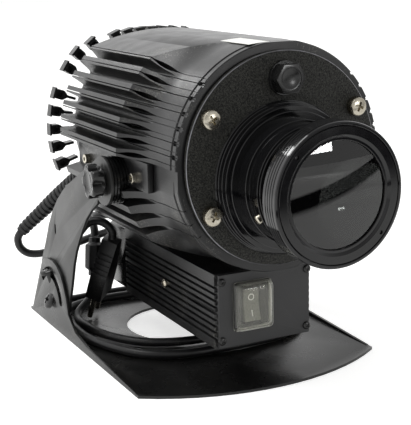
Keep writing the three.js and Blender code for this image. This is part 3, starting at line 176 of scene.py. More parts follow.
@dataclass(frozen=True)
class Finish(Look):
    """A finish with the relief, colour spread and dust that the real one shows."""

    colour: str
    shade: str
    roughness: float
    metallic: float = 0.0
    rough_spread: float = 0.08
    patch_mm: float = 25.0
    grain: Grain = Grain.SPUN
    grain_mm: float = 0.5
    lift_mm: float = 0.02
    dust: float = 0.0
    dust_colour: str = "#8a8880"
    ior: float = 1.5

    def height(self, tree: Tree, place: Socket) -> Socket:
        """Adds the nodes of the relief at the object coordinates, and returns its height."""
        scale = 1 / (self.grain_mm * MM)
        if self.grain is Grain.EXTRUDED:
            stretched = add(tree, "ShaderNodeMapping", {"Vector": place, "Scale": (1.0, DRAWN_STRETCH, 1.0)})
            return noise(tree, stretched.outputs[0], scale, 3.0)
        if self.grain is Grain.TURNED:
            axis = (0.0, 0.0, LENS_AXIS * MM)
            moved = add(tree, "ShaderNodeVectorMath", {0: place, 1: axis}, operation="SUBTRACT")
            parts = add(tree, "ShaderNodeSeparateXYZ", {0: moved.outputs[0]}).outputs
            flat = add(tree, "ShaderNodeCombineXYZ", {0: parts[0], 2: parts[2]})
            radius = add(tree, "ShaderNodeVectorMath", {0: flat.outputs[0]}, operation="LENGTH")
            along = maths(tree, "ADD", radius.outputs["Value"], parts[1])
            rings = {"W": along, "Scale": scale, "Detail": 2.0}
            return add(tree, "ShaderNodeTexNoise", rings, noise_dimensions="1D").outputs[0]
        if self.grain is Grain.POWDER:
            cells = add(tree, "ShaderNodeTexVoronoi", {"Vector": place, "Scale": scale}, feature="SMOOTH_F1")
            return maths(tree, "ADD", cells.outputs[0], noise(tree, place, scale * 2, 3.0))
        return noise(tree, place, scale, 2.0 if self.grain is Grain.MOULDED else 5.0)

    def base(self, tree: Tree, place: Socket) -> Socket:
        """Adds the nodes of the colour, with soft patches and a little settled dust."""
        patch = noise(tree, place, 1 / (self.patch_mm * MM), 4.0)
        colour = mixed(tree, ranged(tree, patch, 0.35, 0.65), linear(self.colour), linear(self.shade))
        if self.dust:
            specks, clouds = noise(tree, place, SPECKS_PER_M, 2.0), noise(tree, place, CLOUDS_PER_M, 3.0)
            share = ranged(tree, maths(tree, "MULTIPLY", specks, clouds), 0.34, 0.44, 0.0, self.dust)
            colour = mixed(tree, share, colour, linear(self.dust_colour))
        return colour

    def nodes(self, tree: Tree, place: Socket) -> bpy.types.Node:
        """Adds the shader: colour, roughness in soft patches and relief."""
        height = self.height(tree, place)
        low, high = self.roughness - self.rough_spread / 2, self.roughness + self.rough_spread / 2
        patch = noise(tree, place, 2 / (self.patch_mm * MM), 3.0)
        bump = add(tree, "ShaderNodeBump", {"Height": height, "Strength": 1.0, "Distance": self.lift_mm * MM})
        look = {
            "Base Color": self.base(tree, place),
            "Roughness": ranged(tree, patch, 0.3, 0.7, low, high),
            "Metallic": self.metallic,
            "Normal": bump.outputs[0],
        }
        if not self.metallic:
            look["IOR"] = self.ior
        return add(tree, "ShaderNodeBsdfPrincipled", look)


@dataclass(frozen=True)
class Clear(Look):
    """A see-through finish: lens glass or silicone rubber, milky where it's seen from the side."""

    tint: str
    roughness: float
    ior: float
    haze_mm: float = 6.0
    milk: float = 0.0

    def nodes(self, tree: Tree, place: Socket) -> bpy.types.Node:
        """Adds the shader: glass, with a milky share where there's one."""
        tint = linear(self.tint)
        haze = noise(tree, place, 1 / (self.haze_mm * MM), 3.0)
        rough = ranged(tree, haze, 0.3, 0.8, self.roughness, self.roughness * 1.6 + 0.01)
        look = {"Base Color": tint, "Roughness": rough, "IOR": self.ior, "Transmission Weight": 1.0}
        shader = add(tree, "ShaderNodeBsdfPrincipled", look)
        if self.milk:
            aside = add(tree, "ShaderNodeLayerWeight", {"Blend": 0.4}).outputs["Facing"]
            share = ranged(tree, aside, 0.25, 0.8, self.milk / 14, self.milk)
            through = add(tree, "ShaderNodeBsdfTranslucent", {0: tint})
            back = add(tree, "ShaderNodeBsdfDiffuse", {0: tint})
            shader = over(tree, share, shader, over(tree, 0.5, through, back))
            shadow = add(tree, "ShaderNodeLightPath").outputs["Is Shadow Ray"]
            shader = over(tree, shadow, shader, add(tree, "ShaderNodeBsdfTransparent", {0: tint}))
        return shader


# Black anodised aluminium, extruded and turned: satin, with faint lines along the fins
ANODISED = Finish(
    "black_anodised_extruded_aluminium", "#0d0d0e", "#151516", 0.34, grain=Grain.EXTRUDED, grain_mm=0.9,
    lift_mm=0.05, dust=0.35,
)
# Black textured powder coat: its sparkle is painted into the colour as small pale specks, painted highlights
# among dark ones
POWDER = Finish(
    "black_powder_coat_painted_sparkle", "#050505", "#3a3a36", 0.42, grain=Grain.POWDER, grain_mm=1.1,
    lift_mm=0.6, patch_mm=1.1, ior=1.32,
)
# Pale metal on the chamfer round the rim of the cover: a painted highlight, a thin pale line
EDGE = Finish("painted_highlight_rim_aluminium", "#85858a", "#6e6e70", 0.35, metallic=1.0, patch_mm=6.0)
# Black satin powder coat on sheet steel: even and slightly orange-peeled, with light dust
SATIN = Finish(
    "black_satin_powder_coat", "#161616", "#1b1b1a", 0.38, grain_mm=1.2, dust=0.12, patch_mm=60.0,
)
# The foot's coat is glossier and dustier where things stand on it
FOOT = Finish(
    "black_gloss_powder_coat", "#0f0f0f", "#181817", 0.28, grain_mm=1.0, lift_mm=0.012, dust=0.25,
    dust_colour="#6d6b65", patch_mm=50.0,
)
# Black anodised aluminium off the lathe: fine rings that draw highlights into arcs
TURNED = Finish(
    "black_anodised_turned_aluminium", "#0b0b0c", "#111113", 0.1, rough_spread=0.04, grain=Grain.TURNED,
    lift_mm=0.002,
)
# The supply's front plate, bead blasted before it was anodised: flat and grey
BLASTED = Finish(
    "black_anodised_blasted_aluminium", "#232324", "#29292a", 0.48, grain_mm=0.6, lift_mm=0.03,
)
# Nickel plated steel: pale and warm, with a soft gloss
NICKEL = Finish(
    "nickel_plated_steel", "#c9c3b4", "#b7b0a0", 0.24, metallic=1.0, grain_mm=0.7, lift_mm=0.01,
    patch_mm=5.0,
)
# Black oxide on screws: oily black with a metallic edge
OXIDE = Finish("black_oxide_steel", "#0b0b0b", "#131312", 0.26, lift_mm=0.015, patch_mm=4.0)
# Moulded nylon of knobs and vent plug: smooth, with a clear gloss
NYLON = Finish(
    "black_moulded_nylon", "#0f0f0f", "#161616", 0.2, grain=Grain.MOULDED, grain_mm=0.9, lift_mm=0.012,
    dust=0.2,
)
# Soft PVC of cords, plug and sleeve: dull black with a greasy sheen
PVC = Finish(
    "black_soft_pvc", "#0f0f10", "#171718", 0.4, grain=Grain.MOULDED, grain_mm=0.9, dust=0.15,
    patch_mm=12.0, ior=1.42,
)
# Neoprene gasket: matt
NEOPRENE = Finish("black_neoprene", "#101010", "#181818", 0.7, grain_mm=0.4, lift_mm=0.03)
# Grey-black rocker in ABS: lightly textured
ROCKER = Finish("charcoal_abs", "#6c6c67", "#757570", 0.4, lift_mm=0.01)
# White ink of the switch marks
INK = Finish("white_pad_print", "#ffffff", "#f2f2ee", 0.5, grain=Grain.MOULDED, grain_mm=0.3, lift_mm=0.004)
# Paper label, blank
PAPER = Finish("white_coated_paper", "#f4f4ef", "#ecece6", 0.5, grain_mm=0.8, lift_mm=0.01)
# Plain aluminium of the heat spreader and holders inside
ALUMINIUM = Finish("milled_aluminium", "#b9bbbd", "#a7a9ac", 0.34, metallic=1.0)
# Etched steel gobo
STEEL = Finish("etched_stainless_steel", "#8f9092", "#7d7e80", 0.3, metallic=1.0, lift_mm=0.01)
# Circuit board with solder mask
BOARD = Finish(
    "green_solder_mask", "#1d4a2c", "#245536", 0.4, grain=Grain.MOULDED, grain_mm=1.5, lift_mm=0.05,
    patch_mm=6.0,
)
# Ceramic of the lamp module with its yellow phosphor
PHOSPHOR = Finish("yellow_phosphor_ceramic", "#c9a63a", "#b6952f", 0.5, grain=Grain.MOULDED, grain_mm=0.4)
# Coated lens glass: clear, and tinted so that the dark barrel behind it stays dark
GLASS = Clear("coated_lens_glass", "#8b8f8c", 0.0, 1.62)
# Clear silicone rubber of the switch cover: milky where it's thick
SILICONE = Clear("clear_silicone_rubber", "#f1f1ea", 0.04, 1.41, milk=0.85)


# Shapes


def softened(points: Sequence[Pair], radius: float, steps: int = 3) -> list[Pair]:
    """Rounds the corners of a closed outline.

    Args:
        points: the outline, in order.
        radius: the radius of the rounding, less where a side is short.
        steps: how many chords each corner gets.

    Returns:
        The rounded outline.
    """
    rounded: list[Pair] = []
    count = len(points)
    for i, here in enumerate(points):
        before, after = np.array(points[i - 1]), np.array(points[(i + 1) % count])
        at = np.array(here)
        a, b = before - at, after - at
        la, lb = np.linalg.norm(a), np.linalg.norm(b)
        if la < 1e-9 or lb < 1e-9:
            continue
        cosine = float(np.clip(a @ b / (la * lb), -1, 1))
        half = math.acos(cosine) / 2
        straight, folded = half > math.radians(83), half < math.radians(4)
        if straight or folded or (abs(at[0]) < 1e-6 and radius > 0):
            rounded.append((float(at[0]), float(at[1])))
            continue
        reach = min(radius / math.tan(half), 0.45 * la, 0.45 * lb)
        start, end = at + a / la * reach, at + b / lb * reach
        for k in range(steps + 1):
            t = k / steps
            p = start * (1 - t) ** 2 + at * 2 * t * (1 - t) + end * t * t
            rounded.append((float(p[0]), float(p[1])))
    return rounded


def between(at: float, low: float, high: float, first: np.ndarray, second: np.ndarray) -> np.ndarray:
    """Returns the point between two others that a place between low and high stands for."""
    return (high - at) / (high - low) * first + (at - low) / (high - low) * second


def curve_points(points: Sequence[Place], spacing: float) -> np.ndarray:
    """Runs a centripetal curve through points, evenly spaced.

    Args:
        points: the places that the curve passes, in millimetres.
        spacing: the distance between the points returned, in millimetres.

    Returns:
        The points in metres, one a row.
    """
    p = np.array(points, float)
    p = np.vstack([2 * p[0] - p[1], p, 2 * p[-1] - p[-2]])
    dense: list[np.ndarray] = []
    for i in range(1, len(p) - 2):
        q = p[i - 1 : i + 3]
        t = np.concatenate([[0], np.cumsum(np.sqrt(np.linalg.norm(np.diff(q, axis=0), axis=1)))])
        for u in np.linspace(t[1], t[2], CURVE_STEPS, endpoint=False):
            a = [between(u, t[k], t[k + 1], q[k], q[k + 1]) for k in range(3)]
            b = [between(u, t[k], t[k + 2], a[k], a[k + 1]) for k in range(2)]
            dense.append(between(u, t[1], t[2], b[0], b[1]))
    dense.append(p[-2])
    line = np.array(dense)
    run = np.concatenate([[0], np.cumsum(np.linalg.norm(np.diff(line, axis=0), axis=1))])
    even = np.linspace(0, run[-1], max(2, round(run[-1] / spacing)) + 1)
    return np.stack([np.interp(even, run, line[:, k]) for k in range(3)], axis=1) * MM


def arc_radius(half: float, height: float) -> float:
    """Returns the radius of an arc of a half width and a height."""
    return (half * half + height * height) / (2 * height)


def metres(x: float, y: float, z: float) -> Place:
    """Turns a place in millimetres into metres."""
    return x * MM, y * MM, z * MM


def piece(name: str, mesh: Mesh) -> Object:
    """Puts a mesh into the scene as an object at the origin."""
    made = bpy.data.objects.new(name, mesh)
    bpy.context.scene.collection.objects.link(made)
    return made


def mesh_of(corners: Sequence[Sequence[float]], faces: Sequence[Sequence[int]]) -> Mesh:
    """Makes a closed mesh with its faces out, from places in metres and the corners of each face."""
    mesh = bpy.data.meshes.new("shape")
    mesh.from_pydata([tuple(c) for c in corners], [], [tuple(f) for f in faces])
    work = bmesh.new()
    work.from_mesh(mesh)
    bmesh.ops.remove_doubles(work, verts=work.verts, dist=1e-7)
    bmesh.ops.recalc_face_normals(work, faces=work.faces)
    work.to_mesh(mesh)
    work.free()
    return mesh


class Axis(Enum):
    """The direction that a turned or drawn shape runs in."""

    X = 0
    Y = 1
    Z = 2

    def point(self, along: float, u: float, v: float) -> Place:
        """Puts a distance along the axis and two across it in x, y, z order, in metres."""
        if self is Axis.X:
            return along * MM, u * MM, v * MM
        if self is Axis.Y:
            return u * MM, along * MM, v * MM
        return u * MM, v * MM, along * MM


def turned(profile: Sequence[Pair], axis: Axis, centre: Pair, segments: int = 96) -> Mesh:
    """Turns a closed profile about an axis.

    Args:
        profile: [radius, distance along the axis] points of a closed outline, in millimetres.
        axis: the axis' direction.
        centre: the axis' place in the other two directions.
        segments: how many sides the shape gets.

    Returns:
        The mesh.
    """
    corners: list[Place] = []
    rings: list[list[int]] = []
    for radius, along in profile:
        if radius < 1e-6:
            rings.append([len(corners)])
            corners.append(axis.point(along, centre[0], centre[1]))
            continue
        ring = []
        for j in range(segments):
            angle = 2 * math.pi * j / segments
            ring.append(len(corners))
            u, v = centre[0] + radius * math.cos(angle), centre[1] + radius * math.sin(angle)
            corners.append(axis.point(along, u, v))
        rings.append(ring)
    faces = []
    for i, ring in enumerate(rings):
        other = rings[(i + 1) % len(rings)]
        if len(ring) == 1 and len(other) == 1:
            continue
        for j in range(segments):
            k = (j + 1) % segments
            if len(ring) == 1:
                faces.append((ring[0], other[j], other[k]))
            elif len(other) == 1:
                faces.append((ring[j], ring[k], other[0]))
            else:
                faces.append((ring[j], ring[k], other[k], other[j]))
    return mesh_of(corners, faces)


def drawn(outline: Sequence[Pair], axis: Axis, low: float, high: float) -> Mesh:
    """Draws a closed outline, in millimetres, out along an axis from low to high."""
    count = len(outline)
    corners = [axis.point(end, u, v) for end in (low, high) for u, v in outline]
    faces = [tuple(range(count)), tuple(range(2 * count - 1, count - 1, -1))]
    for i in range(count):
        j = (i + 1) % count
        faces.append((i, j, count + j, count + i))
    return mesh_of(corners, faces)


def rod(radius: float, start: float, end: float, axis: Axis, centre: Pair, segments: int) -> Mesh:
    """Returns a round rod from start to end along an axis."""
    low, high = sorted((start, end))
    return turned([(0, low), (radius, low), (radius, high), (0, high)], axis, centre, segments)


def circle(radius: float, centre: Pair, count: int) -> list[Pair]:
    """Returns the corners of a regular outline about a centre."""
    angles = [2 * math.pi * i / count for i in range(count)]
    return [(centre[0] + radius * math.cos(a), centre[1] + radius * math.sin(a)) for a in angles]


def rectangle(wide: float, high: float, corner: float, centre: Pair, steps: int = 6) -> list[Pair]:
    """Returns a rectangle of two half sizes with rounded corners about a centre."""
    signs = [(1, 1), (-1, 1), (-1, -1), (1, -1)]
    return softened([(centre[0] + u * wide, centre[1] + v * high) for u, v in signs], corner, steps)


def lofted(rings: Sequence[Sequence[Sequence[float]]]) -> Mesh:
    """Joins rings of corners, in metres, each to the next, and closes both ends."""
    count = len(rings[0])
    faces: list[tuple[int, ...]] = []
    for i in range(len(rings) - 1):
        for j in range(count):
            k = (j + 1) % count
            faces.append((i * count + j, i * count + k, (i + 1) * count + k, (i + 1) * count + j))
    last = (len(rings) - 1) * count
    faces += [tuple(range(count)), tuple(range(last + count - 1, last - 1, -1))]
    return mesh_of([corner for ring in rings for corner in ring], faces)


def tube(line: np.ndarray, radii: Sequence[float], sides: int) -> Mesh:
    """Sweeps a round section along a line in metres without twist, with a radius for each point."""
    tangents = np.gradient(line, axis=0)
    tangents /= np.linalg.norm(tangents, axis=1)[:, None]
    normal = np.cross(tangents[0], (0.3, 0.2, 1.0))
    angles = [2 * math.pi * j / sides for j in range(sides)]
    rings = []
    for at, tangent, radius in zip(line, tangents, radii, strict=True):
        normal = normal - tangent * (normal @ tangent)
        normal /= np.linalg.norm(normal)
        other = np.cross(tangent, normal)
        rings.append([at + radius * MM * (math.cos(a) * normal + math.sin(a) * other) for a in angles])
    return lofted(rings)


def used_up(helpers: Sequence[Object]) -> None:
    """Removes helper objects together with their meshes."""
    for helper in helpers:
        mesh = helper.data
        bpy.data.objects.remove(helper)
        bpy.data.meshes.remove(mesh)


def baked(carrier: Object) -> Mesh:
    """Returns the mesh that an object's modifiers give."""
    depsgraph = bpy.context.evaluated_depsgraph_get()
    return bpy.data.meshes.new_from_object(carrier.evaluated_get(depsgraph))


def joined(meshes: Sequence[Mesh]) -> Mesh:
    """Puts several meshes together in one."""
    work = bmesh.new()
    for mesh in meshes:
        work.from_mesh(mesh)
        bpy.data.meshes.remove(mesh)
    whole = bpy.data.meshes.new("whole")
    work.to_mesh(whole)
    work.free()
    return whole


def worked(mesh: Mesh, tools: Sequence[Mesh], operation: str = "DIFFERENCE") -> Mesh:
    """Cuts, joins or trims a closed mesh with others.

    Args:
        mesh: the mesh that is worked on.
        tools: the closed meshes that cut, join or trim it; they're used up.
        operation: DIFFERENCE, UNION or INTERSECT.

    Returns:
        The new mesh.
    """
    body = piece("work", mesh)
    helpers = []
    for tool in tools:
        helper = piece("tool", tool)
        helpers.append(helper)
        step = body.modifiers.new("step", "BOOLEAN")
        step.operation = operation
        step.object = helper
        step.solver = "MANIFOLD"
    made = baked(body)
    used_up([body, *helpers])
    return made


def eased(mesh: Mesh, width: float, angle: float = 32.0, steps: int = 2) -> Mesh:
    """Merges a mesh's flat faces and breaks its sharp edges.

    Args:
        mesh: the mesh.
        width: the width of the broken edge, in millimetres; none where it's zero.
        angle: edges sharper than this angle, in degrees, are broken.
        steps: how many faces a broken edge gets.

    Returns:
        The same mesh.
    """
    work = bmesh.new()
    work.from_mesh(mesh)
    bmesh.ops.remove_doubles(work, verts=work.verts, dist=MERGE)
    bmesh.ops.dissolve_limit(work, angle_limit=math.radians(0.4), verts=work.verts, edges=work.edges)
    if width:
        sharp = [e for e in work.edges if e.is_manifold and e.calc_face_angle(0.0) > math.radians(angle)]
        cut = {"offset": width * MM, "offset_type": "OFFSET", "segments": steps, "profile": 0.6}
        bmesh.ops.bevel(work, geom=sharp, affect="EDGES", clamp_overlap=True, **cut)
    work.to_mesh(mesh)
    work.free()
    return mesh


def copy_of(node: str) -> Mesh:
    """Copies a frame node's mesh with its loose triangles merged."""
    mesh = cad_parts[node].data.copy()
    mesh.materials.clear()
    work = bmesh.new()
    work.from_mesh(mesh)
    bmesh.ops.remove_doubles(work, verts=work.verts, dist=MERGE)
    work.to_mesh(mesh)
    work.free()
    return mesh


def dress(
    name: str,
    mesh: Mesh,
    finish: Look,
    body: str,
    nodes: Sequence[str] = (),
    smooth: float = 34.0,
) -> Object:
    """Finishes a piece: its shading, material, body and the nodes it stands for.

    Args:
        name: the piece's name.
        mesh: its mesh.
        finish: its finish.
        body: the frame body that it rides on, or "" where it's blended later.
        nodes: the frame nodes that it stands for.
        smooth: edges sharper than this angle, in degrees, stay sharp.

    Returns:
        The object.
    """
    made = piece(name, mesh)
    mesh.name = name
    mesh.materials.clear()
    mesh.materials.append(finish.build())
    mesh.shade_smooth()
    mesh.set_sharp_from_angle(angle=math.radians(smooth))
    if body:
        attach(made, body)
    if nodes:
        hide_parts(*nodes)
    log.info("%s: %d faces", name, len(mesh.polygons))
    return made


def refined(
    name: str,
    node: str,
    finish: Look,
    body: str,
    width: float,
    angle: float = 32.0,
    steps: int = 2,
    smooth: float = 34.0,
) -> Object:
    """Finishes a copy of a frame node whose sharp edges are broken; see eased and dress."""
    return dress(name, eased(copy_of(node), width, angle, steps), finish, body, [node], smooth)


def dress_node(node: str, finish: Look) -> None:
    """Gives a frame node that stays in view its material."""
    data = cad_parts[node].data
    data.materials.clear()
    data.materials.append(finish.build())
    log.info("%s keeps its frame mesh", node)


# Copies laid out by Geometry Nodes


class Layout(Enum):
    """How a tree lays out its copies."""

    RING = "copies_round_a_ring"
    PLACES = "copies_on_places"
    PATH = "copies_along_a_path"


class Copies:
    """Lays out copies of a small mesh with a Geometry Nodes tree, and bakes them to one mesh."""

    inputs = {
        Layout.RING: (("Count", "Int"), ("Radius", "Float")),
        Layout.PLACES: (),
        Layout.PATH: (("Count", "Int"), ("First", "Float"), ("Last", "Float")),
    }

    def __init__(self, layout: Layout) -> None:
        """Builds the tree of a layout, or takes it where it's built already."""
        self.layout = layout
        self.tree = bpy.data.node_groups.get(layout.value) or self.built()

    def built(self) -> Tree:
        """Builds the tree: points, copies on them, real copies, material."""
        tree = bpy.data.node_groups.new(self.layout.value, "GeometryNodeTree")
        shared = (("Geometry", "Geometry"), ("Part", "Object"), ("Material", "Material"))
        for name, kind in (*shared, *self.inputs[self.layout]):
            tree.interface.new_socket(name, in_out="INPUT", socket_type=f"NodeSocket{kind}")
        tree.interface.new_socket("Geometry", in_out="OUTPUT", socket_type="NodeSocketGeometry")
        given = add(tree, "NodeGroupInput").outputs
        part = add(tree, "GeometryNodeObjectInfo", {"Object": given["Part"]}).outputs["Geometry"]
        links: dict = {"Instance": part}
        if self.layout is Layout.RING:
            size = {"Vertices": given["Count"], "Radius": given["Radius"]}
            ring = add(tree, "GeometryNodeMeshCircle", size)
            out = add(tree, "GeometryNodeInputPosition")
            turn = add(tree, "FunctionNodeAlignRotationToVector", {"Vector": out.outputs[0]}, axis="X")
            links |= {"Points": ring.outputs[0], "Rotation": turn.outputs[0]}
        elif self.layout is Layout.PLACES:
            turn = add(tree, "GeometryNodeInputNamedAttribute", {"Name": "turn"}, data_type="FLOAT_VECTOR")
            turned_by = add(tree, "FunctionNodeEulerToRotation", {0: turn.outputs[0]})
            links |= {"Points": given["Geometry"], "Rotation": turned_by.outputs[0]}
        else:
            curve = add(tree, "GeometryNodeMeshToCurve", {"Mesh": given["Geometry"]})
            sampled = {"Curve": curve.outputs[0], "Count": given["Count"]}
            even = add(tree, "GeometryNodeResampleCurve", sampled)
            tangent = add(tree, "GeometryNodeInputTangent")
            turn = add(tree, "FunctionNodeAlignRotationToVector", {"Vector": tangent.outputs[0]}, axis="Z")
            share = add(tree, "GeometryNodeSplineParameter")
            span = {"Value": share.outputs["Factor"], "To Min": given["First"], "To Max": given["Last"]}
            size = add(tree, "ShaderNodeMapRange", span)
            links |= {"Points": even.outputs[0], "Rotation": turn.outputs[0], "Scale": size.outputs[0]}
        copies = add(tree, "GeometryNodeInstanceOnPoints", links)
        real = add(tree, "GeometryNodeRealizeInstances", {"Geometry": copies.outputs[0]})
        bare = {"Geometry": real.outputs[0], "Material": given["Material"]}
        coated = add(tree, "GeometryNodeSetMaterial", bare)
        add(tree, "NodeGroupOutput", {0: coated.outputs[0]})
        return tree

    def lay(
        self,
        part: Mesh,
        finish: Finish,
        points: Sequence[Sequence[float]] = (),
        turns: Sequence[Place] = (),
        **sizes: object,
    ) -> Mesh:
        """Lays the copies out and bakes them.

        Args:
            part: the mesh that is copied, about the origin; it's used up.
            finish: the copies' finish.
            points: the places or the path, in metres.
            turns: the copies' turns about x, y and z, in radians.
            sizes: the tree's own inputs by name.

        Returns:
            One mesh of all the copies.
        """
        carrier_mesh = bpy.data.meshes.new("carrier")
        edges = [(i, i + 1) for i in range(len(points) - 1)] if self.layout is Layout.PATH else []
        carrier_mesh.from_pydata([tuple(p) for p in points], edges, [])
        if turns:
            kept = carrier_mesh.attributes.new("turn", "FLOAT_VECTOR", "POINT")
            kept.data.foreach_set("vector", np.array(turns, np.float32).ravel())
        carrier = piece("carrier", carrier_mesh)
        helper = piece("part", part)
        step = carrier.modifiers.new("copies", "NODES")
        step.node_group = self.tree
        values = {"Part": helper, "Material": finish.build()} | sizes
        for item in self.tree.interface.items_tree:
            if item.item_type == "SOCKET" and item.in_out == "INPUT" and item.name in values:
                step[item.identifier] = values[item.name]
        carrier.update_tag()
        made = baked(carrier)
        used_up([carrier, helper])
        return made


def fastened(
    name: str,
    screw: Mesh,
    finish: Finish,
    body: str,
    nodes: Sequence[str],
    places: Sequence[Place],
    turns: Sequence[Place],
) -> None:
    """Lays a screw out on its places with their turns, and finishes the copies as one piece."""
    dress(name, Copies(Layout.PLACES).lay(screw, finish, places, turns), finish, body, nodes, 30)


# A cross recess: its arms' reach and width and its depth as shares of the head, and its taper
CROSS_ARM, CROSS_WIDTH, CROSS_DEPTH, CROSS_TAPER = 0.62, 0.16, 0.5, 0.72


def cross_head(radius: float, height: float, dome: float, shank: float, reach: float) -> Mesh:
    """Makes a cross recessed screw about the origin, its head towards -Y.

    Args:
        radius: the head's radius.
        height: the head's height.
        dome: how much of the height is crowned.
        shank: the shank's radius.
        reach: how far the shank goes in.

    Returns:
        The mesh.
    """
    angles = [math.radians(a) for a in range(12, 91, 6)]
    profile = [(0.0, -height), *((radius * math.sin(a), -height + dome * (1 - math.cos(a))) for a in angles)]
    profile += [(radius, 0.0), (shank, 0.0), (shank, reach), (0.0, reach)]
    head = turned(profile, Axis.Y, (0, 0), 40)
    arm, thin, deep = radius * CROSS_ARM, radius * CROSS_WIDTH, height * CROSS_DEPTH
    tools = []
    for u, v in ((arm, thin), (thin, arm)):
        bar = drawn([(-u, -v), (u, -v), (u, v), (-u, v)], Axis.Y, -height - 2, -height + deep)
        for corner in bar.vertices:
            if corner.co.y > -height * MM:
                corner.co.x *= CROSS_TAPER
                corner.co.z *= CROSS_TAPER
        tools.append(bar)
    return worked(head, tools)


# Cords


@dataclass
class Cords:
    """The mains cord with its connector and plug, and the lamp's lead with its sleeve."""

    radius: float = 3.25
    sides: int = 20
    spacing: float = 1.6
    lead: tuple[Place, ...] = (
        (-92.97, 186.37, 61.4), (-94.8, 188.2, 57.7), (-95.2, 189.3, 54.2), (-93.2, 190.4, 47.3),
        (-87.6, 189.5, 41.9), (-80.6, 186.8, 40.6), (-70, 181.5, 42.5), (-58, 175, 46.5), (-46, 168, 51.5),
        (-35, 159.5, 57), (-27, 150, 61), (-23, 139, 63.3), (-22, 126.3, 63.5),
    )
    sleeve: tuple[Place, ...] = (
        (-52, 119.6, 118.5), (-52, 128, 118), (-55.5, 140, 112), (-62.5, 152, 102), (-71, 163.5, 90.5),
        (-79.5, 174, 78.5), (-87.5, 182, 68.5), (-92.5, 186, 62),
    )
    drop: tuple[Place, ...] = (
        (18, 126.3, 68), (18, 136, 68), (17.6, 146, 68), (14.5, 157.3, 68), (6, 167.3, 68),
        (-6, 172.4, 68.6), (-19, 172.6, 70), (-31, 168.5, 71.8), (-39.8, 161, 73.3), (-43.6, 154.5, 73.9),
        (-44.4, 150.2, 73.4), (-44.7, 144.4, 71.6), (-45.2, 139.9, 67.5), (-45.88, 137.66, 62.35),
    )
    rise: tuple[Place, ...] = (
        (-50.05, 131.93, 30.6), (-50.6, 131.2, 26.5), (-53.3, 128.8, 18.6), (-58.6, 124.9, 13),
        (-64.6, 120.9, 10.2), (-71, 115.2, 7.6),
    )
    rest_height: float = 5.6
    inner: tuple[Pair, ...] = (
        (-75, 106), (-76.3, 94), (-75, 80), (-72, 64), (-64, 45), (-51, 29), (-30, 18), (-5, 14), (25, 17),
        (50, 30), (66, 52), (71, 80), (68, 108), (54, 128), (30, 139), (0, 143), (-30, 145), (-58, 142),
        (-77, 130),
    )
    outer: tuple[Pair, ...] = (
        (-84.5, 106), (-85.5, 84), (-85, 60), (-77, 32), (-62, 7), (-40, -6), (-10, -10), (20, -10),
        (50, -5), (73, 14), (82, 44), (84, 78), (80, 112), (64, 140), (35, 153), (0, 157), (-38, 158),
        (-58, 156.5),
    )
    arch: tuple[Place, ...] = (
        (-72, 152.5, 7.5), (-81, 146, 14), (-83.9, 138.5, 25), (-82.8, 131, 38), (-79.9, 123.5, 52),
        (-74.5, 115.5, 65), (-67.1, 105.1, 79.6), (-65.6, 103.5, 81.9), (-61.4, 100, 84.8),
        (-56.2, 96.6, 84.5), (-51.5, 94.3, 81.3), (-48.46, 93.6, 75.9), (-47.85, 94.2, 72.4),
        (-47.88, 94.72, 70.2),
    )

    def cord(self, name: str, line: np.ndarray, body: str, nodes: Sequence[str]) -> Object:
        """Makes one stretch of cord as a tube along its line."""
        mesh = tube(line, [self.radius] * len(line), self.sides)
        return dress(name, mesh, PVC, body, nodes, 60)

    def relief(self, name: str, line: np.ndarray, root: float, length: float, body: str) -> Object:
        """Makes a tapered ribbed strain relief on the first stretch of a cord.

        Args:
            name: the piece's name.
            line: the cord's line, in metres.
            root: the radius at the housing.
            length: the relief's length in millimetres.
            body: the frame body that it rides on.

        Returns:
            The object.
        """
        first = line[: max(4, round(length / self.spacing)) + 1]
        tip = self.radius + 0.7
        shares = np.linspace(0, 1, len(first))
        core = tube(first, [root - 0.9 + (tip - root + 0.5) * s for s in shares], 24)
        rib = self.rib(0.7, 0.1, 0.05, 24)
        ribs = Copies(Layout.PATH).lay(rib, PVC, first[1:], Count=6, First=root * MM, Last=(tip + 0.1) * MM)
        return dress(name, joined([core, ribs]), PVC, body, (), 40)

    def rib(self, inner: float, half: float, corner: float, sides: int) -> Mesh:
        """Returns a rib of unit radius, in metres, to be copied along a cord."""
        section = softened([(1.0, -half), (1.0, half), (inner, half), (inner, -half)], corner)
        rib = turned(section, Axis.Z, (0, 0), sides)
        rib.transform(Matrix.Scale(1 / MM, 4))
        return rib

    def lamp_lead(self) -> None:
        """Builds the lamp's lead and the ribbed sleeve that it leaves the head in."""
        line = curve_points(self.sleeve, 1.2)
        core = tube(line, [7.1 - 2.4 * s for s in np.linspace(0, 1, len(line))], 28)
        rib = self.rib(0.75, 0.2, 0.12, 28)
        ribs = Copies(Layout.PATH).lay(rib, PVC, line[3:-3], Count=21, First=8.0 * MM, Last=5.4 * MM)
        dress("led_sleeve", joined([core, ribs]), PVC, "head", ["led_lead_boot"], 40)
        path = curve_points(self.lead, self.spacing)
        self.cord("led_lead_cord", path, "head", ["led_lead"])
        self.relief("led_lead_gland", path[::-1], 6.4, 22, "head")

